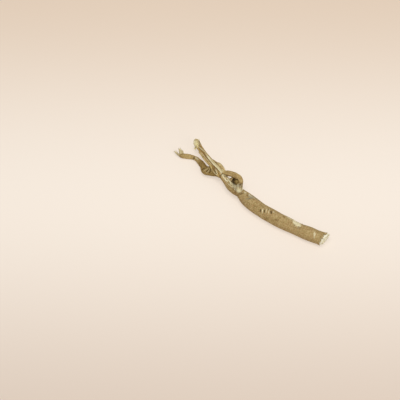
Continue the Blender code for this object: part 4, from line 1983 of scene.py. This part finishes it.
@dataclass
class Flakes:
    """Thin flakes of bark, lifted at their edges, by the saw cut, the scar, the neck and elsewhere.

    A group's size is the least and greatest length of a flake, and the same for its width.
    """

    skeleton: Skeleton
    saw_cut: SawCut
    seed: int = 23
    rows: int = 7
    thickness: float = 0.09
    lowest: float = 0.02
    leans: Span = (-0.4, 0.4)
    raggedness: float = 0.25
    lifts: Span = (0.10, 0.38)
    lift_start: float = 0.2
    base_lift: float = 0.03
    edge_lift: float = 0.04
    at_cut: int = 12
    behind_cut: float = 1.6
    cut_beyond: float = 0.7
    cut_size: tuple[Span, Span] = ((0.7, 1.5), (0.5, 1.2))
    by_scar: int = 5
    scar_along: float = 62.5
    scar_degrees: float = 66.0
    scar_length: float = 2.6
    scar_nearness: Span = (0.7, 1.1)
    scar_turns: Span = (0.1, 0.5)
    scar_size: tuple[Span, Span] = ((0.5, 1.2), (0.4, 0.9))
    on_neck: int = 16
    neck_reach: Span = (73.0, 90.0)
    neck_edges: Row = (8.0, 92.0)
    neck_degrees: Span = (-8.0, 8.0)
    neck_size: tuple[Span, Span] = ((0.8, 2.2), (0.3, 0.6))
    on_stem: int = 12
    stem_reach: Span = (14.0, 70.0)
    stem_beyond: float = 0.3
    stem_size: tuple[Span, Span] = ((0.4, 0.9), (0.3, 0.6))

    def patch(
        self, draw: random.Random, line: CentreLine, along: float, angle: float,
        length: float, width: float,
    ) -> tuple[np.ndarray, Faces]:
        """One flake, as a closed thin plate that follows the bark.

        Args:
            draw: The seeded source of random numbers.
            line: The strand's centre line.
            along: Its middle, along the strand.
            angle: Its middle, round the strand.
            length: Its length along the strand.
            width: Its width round the strand.

        Returns:
            Points and faces.
        """
        size = self.rows
        grid = np.linspace(-1, 1, size)
        u, v = np.meshgrid(grid, grid, indexing="ij")
        lean = draw.uniform(*self.leans)
        uneven = np.zeros((size, size))
        for i, j in np.ndindex(size, size):
            if i in (0, size - 1) or j in (0, size - 1):
                uneven[i, j] = draw.uniform(-1, 1)
        ragged = 1 + self.raggedness * uneven
        radius = float(line.at(line.radius, np.array(along)))
        reach = along + 0.5 * length * (u * ragged + lean * v)
        turn = angle + 0.5 * width / radius * v * ragged
        lifted = draw.uniform(*self.lifts)
        lifted = lifted * np.clip(u * draw.choice((-1, 1)) + self.lift_start, 0, None) ** 2
        base = self.base_lift + lifted + self.edge_lift * np.abs(v)
        top = line.surface(reach, turn, base + self.thickness).reshape(-1, 3)
        under = line.surface(reach, turn, base).reshape(-1, 3)
        return np.concatenate([top, under]), self.plate_faces()

    def plate_faces(self) -> Faces:
        """The faces of a flake's top, of its underside and of the rim that joins them.

        Returns:
            The faces.
        """
        size = self.rows
        total = size * size
        faces: Faces = []
        for i in range(size - 1):
            for j in range(size - 1):
                a, b = i * size + j, i * size + j + 1
                c, d = b + size, a + size
                faces.append((a, b, c, d))
                faces.append((total + a, total + d, total + c, total + b))
        rim = list(range(size))
        rim += [i * size + size - 1 for i in range(1, size)]
        rim += [(size - 1) * size + j for j in range(size - 2, -1, -1)]
        rim += [i * size for i in range(size - 2, 0, -1)]
        for point, after in zip(rim, rim[1:] + rim[:1]):
            faces.append((after, point, total + point, total + after))
        return faces

    def places(self, draw: random.Random) -> list[tuple[float, float, float, float]]:
        """Where the stem's flakes sit: along, angle, length and width.

        Args:
            draw: The seeded source of random numbers.

        Returns:
            A row for each flake.
        """
        line = self.skeleton.line("stem")
        found = []
        for _ in range(self.at_cut):
            angle = draw.uniform(-self.cut_beyond, math.pi + self.cut_beyond)
            along = float(self.saw_cut.start(line, np.array(angle), self.behind_cut, 1.0))
            found.append((along, angle, *self.sized(draw, self.cut_size)))
        for _ in range(self.by_scar):
            side = draw.choice((-1, 1)) * draw.uniform(*self.scar_nearness)
            angle = math.radians(self.scar_degrees) + draw.uniform(*self.scar_turns)
            along = self.scar_along + self.scar_length * side
            found.append((along, angle, *self.sized(draw, self.scar_size)))
        for _ in range(self.on_neck):
            along = draw.uniform(*self.neck_reach)
            angle = math.radians(draw.choice(self.neck_edges) + draw.uniform(*self.neck_degrees))
            found.append((along, angle, *self.sized(draw, self.neck_size)))
        for _ in range(self.on_stem):
            angle = draw.uniform(-self.stem_beyond, math.pi + self.stem_beyond)
            along = draw.uniform(*self.stem_reach)
            found.append((along, angle, *self.sized(draw, self.stem_size)))
        return found

    @staticmethod
    def sized(draw: random.Random, size: tuple[Span, Span]) -> tuple[float, float]:
        """A flake's length and width, drawn from its group's size."""
        lengths, widths = size
        return draw.uniform(*lengths), draw.uniform(*widths)

    def build(self, material: bpy.types.Material) -> bpy.types.Object:
        """Make all flakes.

        Args:
            material: The bark's material.

        Returns:
            The piece.
        """
        draw = random.Random(self.seed)
        line = self.skeleton.line("stem")
        points: list[np.ndarray] = []
        faces: Faces = []
        count = 0
        for along, angle, length, width in self.places(draw):
            rows, plate = self.patch(draw, line, along, angle, length, width)
            points.append(rows)
            faces.extend(tuple(index + count for index in face) for face in plate)
            count += len(rows)
        every = np.concatenate(points)
        keep_above(every, self.lowest)
        mesh = mesh_from("bark_flakes", every, faces)
        put_values(mesh, "grain", self.skeleton.locate(every).grain())
        put_values(mesh, "tint", np.ones((len(every), 3)))
        for name in ("furrow", "stringy", *(mark.value for mark in SHOWN_MARKS)):
            put_values(mesh, name, np.zeros(len(every)))
        return add_piece("bark_flakes", mesh, material)


@dataclass(frozen=True)
class SoftLight:
    """A soft square light that faces the root: its place, its side and its power in watts."""

    name: str
    place: Row
    size: float
    power: float


@dataclass(frozen=True)
class Studio:
    """The pale surface, the soft lights and the camera at the photograph's angle."""

    mm_per_pixel: float = 0.64
    pixels: int = 400
    lens: float = 100.0
    sensor: float = 36.0
    clip_metres: Span = (0.01, 20.0)
    elevation: float = 60.0
    aim: Row = (-33.6, 6.5, 0.0)
    floor_size: float = 1600.0
    # Painted light falloff: the floor's colour is lightest by the root and darker to its back and
    # front.
    floor_near: Row = linear(249, 237, 224)
    floor_back: Row = linear(231, 210, 189)
    floor_front: Row = linear(220, 202, 186)
    floor_height: float = -0.05
    floor_roughness: float = 0.9
    floor_gloss: float = 0.1
    fading: float = 185.0
    # A painted glow: part of the floor's colour is given off as light, which fades shadows on it.
    glow: float = 0.60
    lights: tuple[SoftLight, ...] = (
        SoftLight("key", (-60.0, -60.0, 810.0), 420.0, 3.5),
        SoftLight("fill", (380.0, -380.0, 420.0), 500.0, 1.1),
    )
    daylight: Row = (1.0, 0.99, 0.97)
    sky_strength: float = 0.36

    def camera(self) -> None:
        """The camera, so far away that a pixel of the photograph covers its share of a millimetre."""
        data = bpy.data.cameras.new("camera")
        data.lens = self.lens
        data.sensor_width = self.sensor
        data.clip_start, data.clip_end = self.clip_metres
        camera = bpy.data.objects.new("camera", data)
        bpy.context.scene.collection.objects.link(camera)
        distance = self.mm_per_pixel * self.pixels * self.lens / self.sensor
        tilt = math.radians(self.elevation)
        away = Vector((0.0, -math.cos(tilt), math.sin(tilt))) * distance
        camera.location = (Vector(self.aim) + Vector(PLACE) + away) * MM
        camera.rotation_euler = (math.radians(90.0 - self.elevation), 0.0, 0.0)
        bpy.context.scene.camera = camera

    def floor(self) -> None:
        """The plain pale surface."""
        work = bmesh.new()
        bmesh.ops.create_grid(work, x_segments=2, y_segments=2, size=self.floor_size * MM / 2)
        mesh = bpy.data.meshes.new("surface")
        work.to_mesh(mesh)
        work.free()
        surface = bpy.data.objects.new("surface", mesh)
        surface.location = (0.0, 0.0, self.floor_height * MM)
        bpy.context.scene.collection.objects.link(surface)
        mesh.materials.append(self.backdrop())

    def backdrop(self) -> bpy.types.Material:
        """The surface's material, with painted light falloff that leaves it darker to its front and
        back, and a painted glow, like a light table's, that fades the shadows on it.

        Returns:
            The material.
        """
        graph = Graph("pale_surface")
        place = graph.place(self.fading * MM)
        away = graph.add("ShaderNodeSeparateXYZ", None, {0: place}, "Y")
        back = away.clamped()
        front = (0.0 - away).clamped()
        colour = graph.blend(self.floor_near, self.floor_back, back * back * (3 - 2 * back))
        colour = graph.blend(colour, self.floor_front, front * front * (3 - 2 * front))
        sockets = graph.shader.inputs
        graph.feed(sockets["Base Color"], graph.times(colour, (1 - self.glow,) * 3))
        graph.feed(sockets["Emission Color"], colour)
        sockets["Emission Strength"].default_value = self.glow
        sockets["Roughness"].default_value = self.floor_roughness
        sockets["Specular IOR Level"].default_value = self.floor_gloss
        return graph.material

    def light(self, light: SoftLight) -> None:
        """Hang one light.

        Args:
            light: The light.
        """
        data = bpy.data.lights.new(light.name, "AREA")
        data.size = light.size * MM
        data.energy = light.power
        data.color = self.daylight
        lamp = bpy.data.objects.new(light.name, data)
        lamp.location = Vector(light.place) * MM
        lamp.rotation_mode = "QUATERNION"
        lamp.rotation_quaternion = (-Vector(light.place)).to_track_quat("-Z", "Y")
        bpy.context.scene.collection.objects.link(lamp)

    def build(self) -> None:
        """Set up everything that isn't the root."""
        self.camera()
        self.floor()
        for light in self.lights:
            self.light(light)
        world = bpy.data.worlds.new("soft_daylight")
        world.use_nodes = True
        sky = world.node_tree.nodes["Background"].inputs
        sky["Color"].default_value = (*self.daylight, 1.0)
        sky["Strength"].default_value = self.sky_strength
        bpy.context.scene.world = world
        bpy.context.scene.view_settings.view_transform = "Standard"


def main() -> None:
    """Build the root's pieces in order."""
    logging.basicConfig(level=logging.INFO, format="%(name)s %(message)s")
    for old in list(bpy.data.objects):
        bpy.data.objects.remove(old, do_unlink=True)
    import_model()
    Studio().build()
    skeleton = Skeleton()
    saw_cut = SawCut()
    bark = BarkFinish().make()
    RootBark(skeleton, Relief(skeleton), saw_cut).build(bark)
    SawnWood(skeleton, saw_cut).build(SawnWoodFinish().make())
    fraying = Fraying(skeleton, saw_cut)
    fraying.tip(TIP_FIBRES.make())
    fraying.rootlet(THIN_FIBRES.make())
    fraying.stub(TORN_FIBRES.make())
    fraying.sawn_rim(SAWN_FIBRES.make())
    Flakes(skeleton, saw_cut).build(bark)


if __name__ == "__main__":
    main()
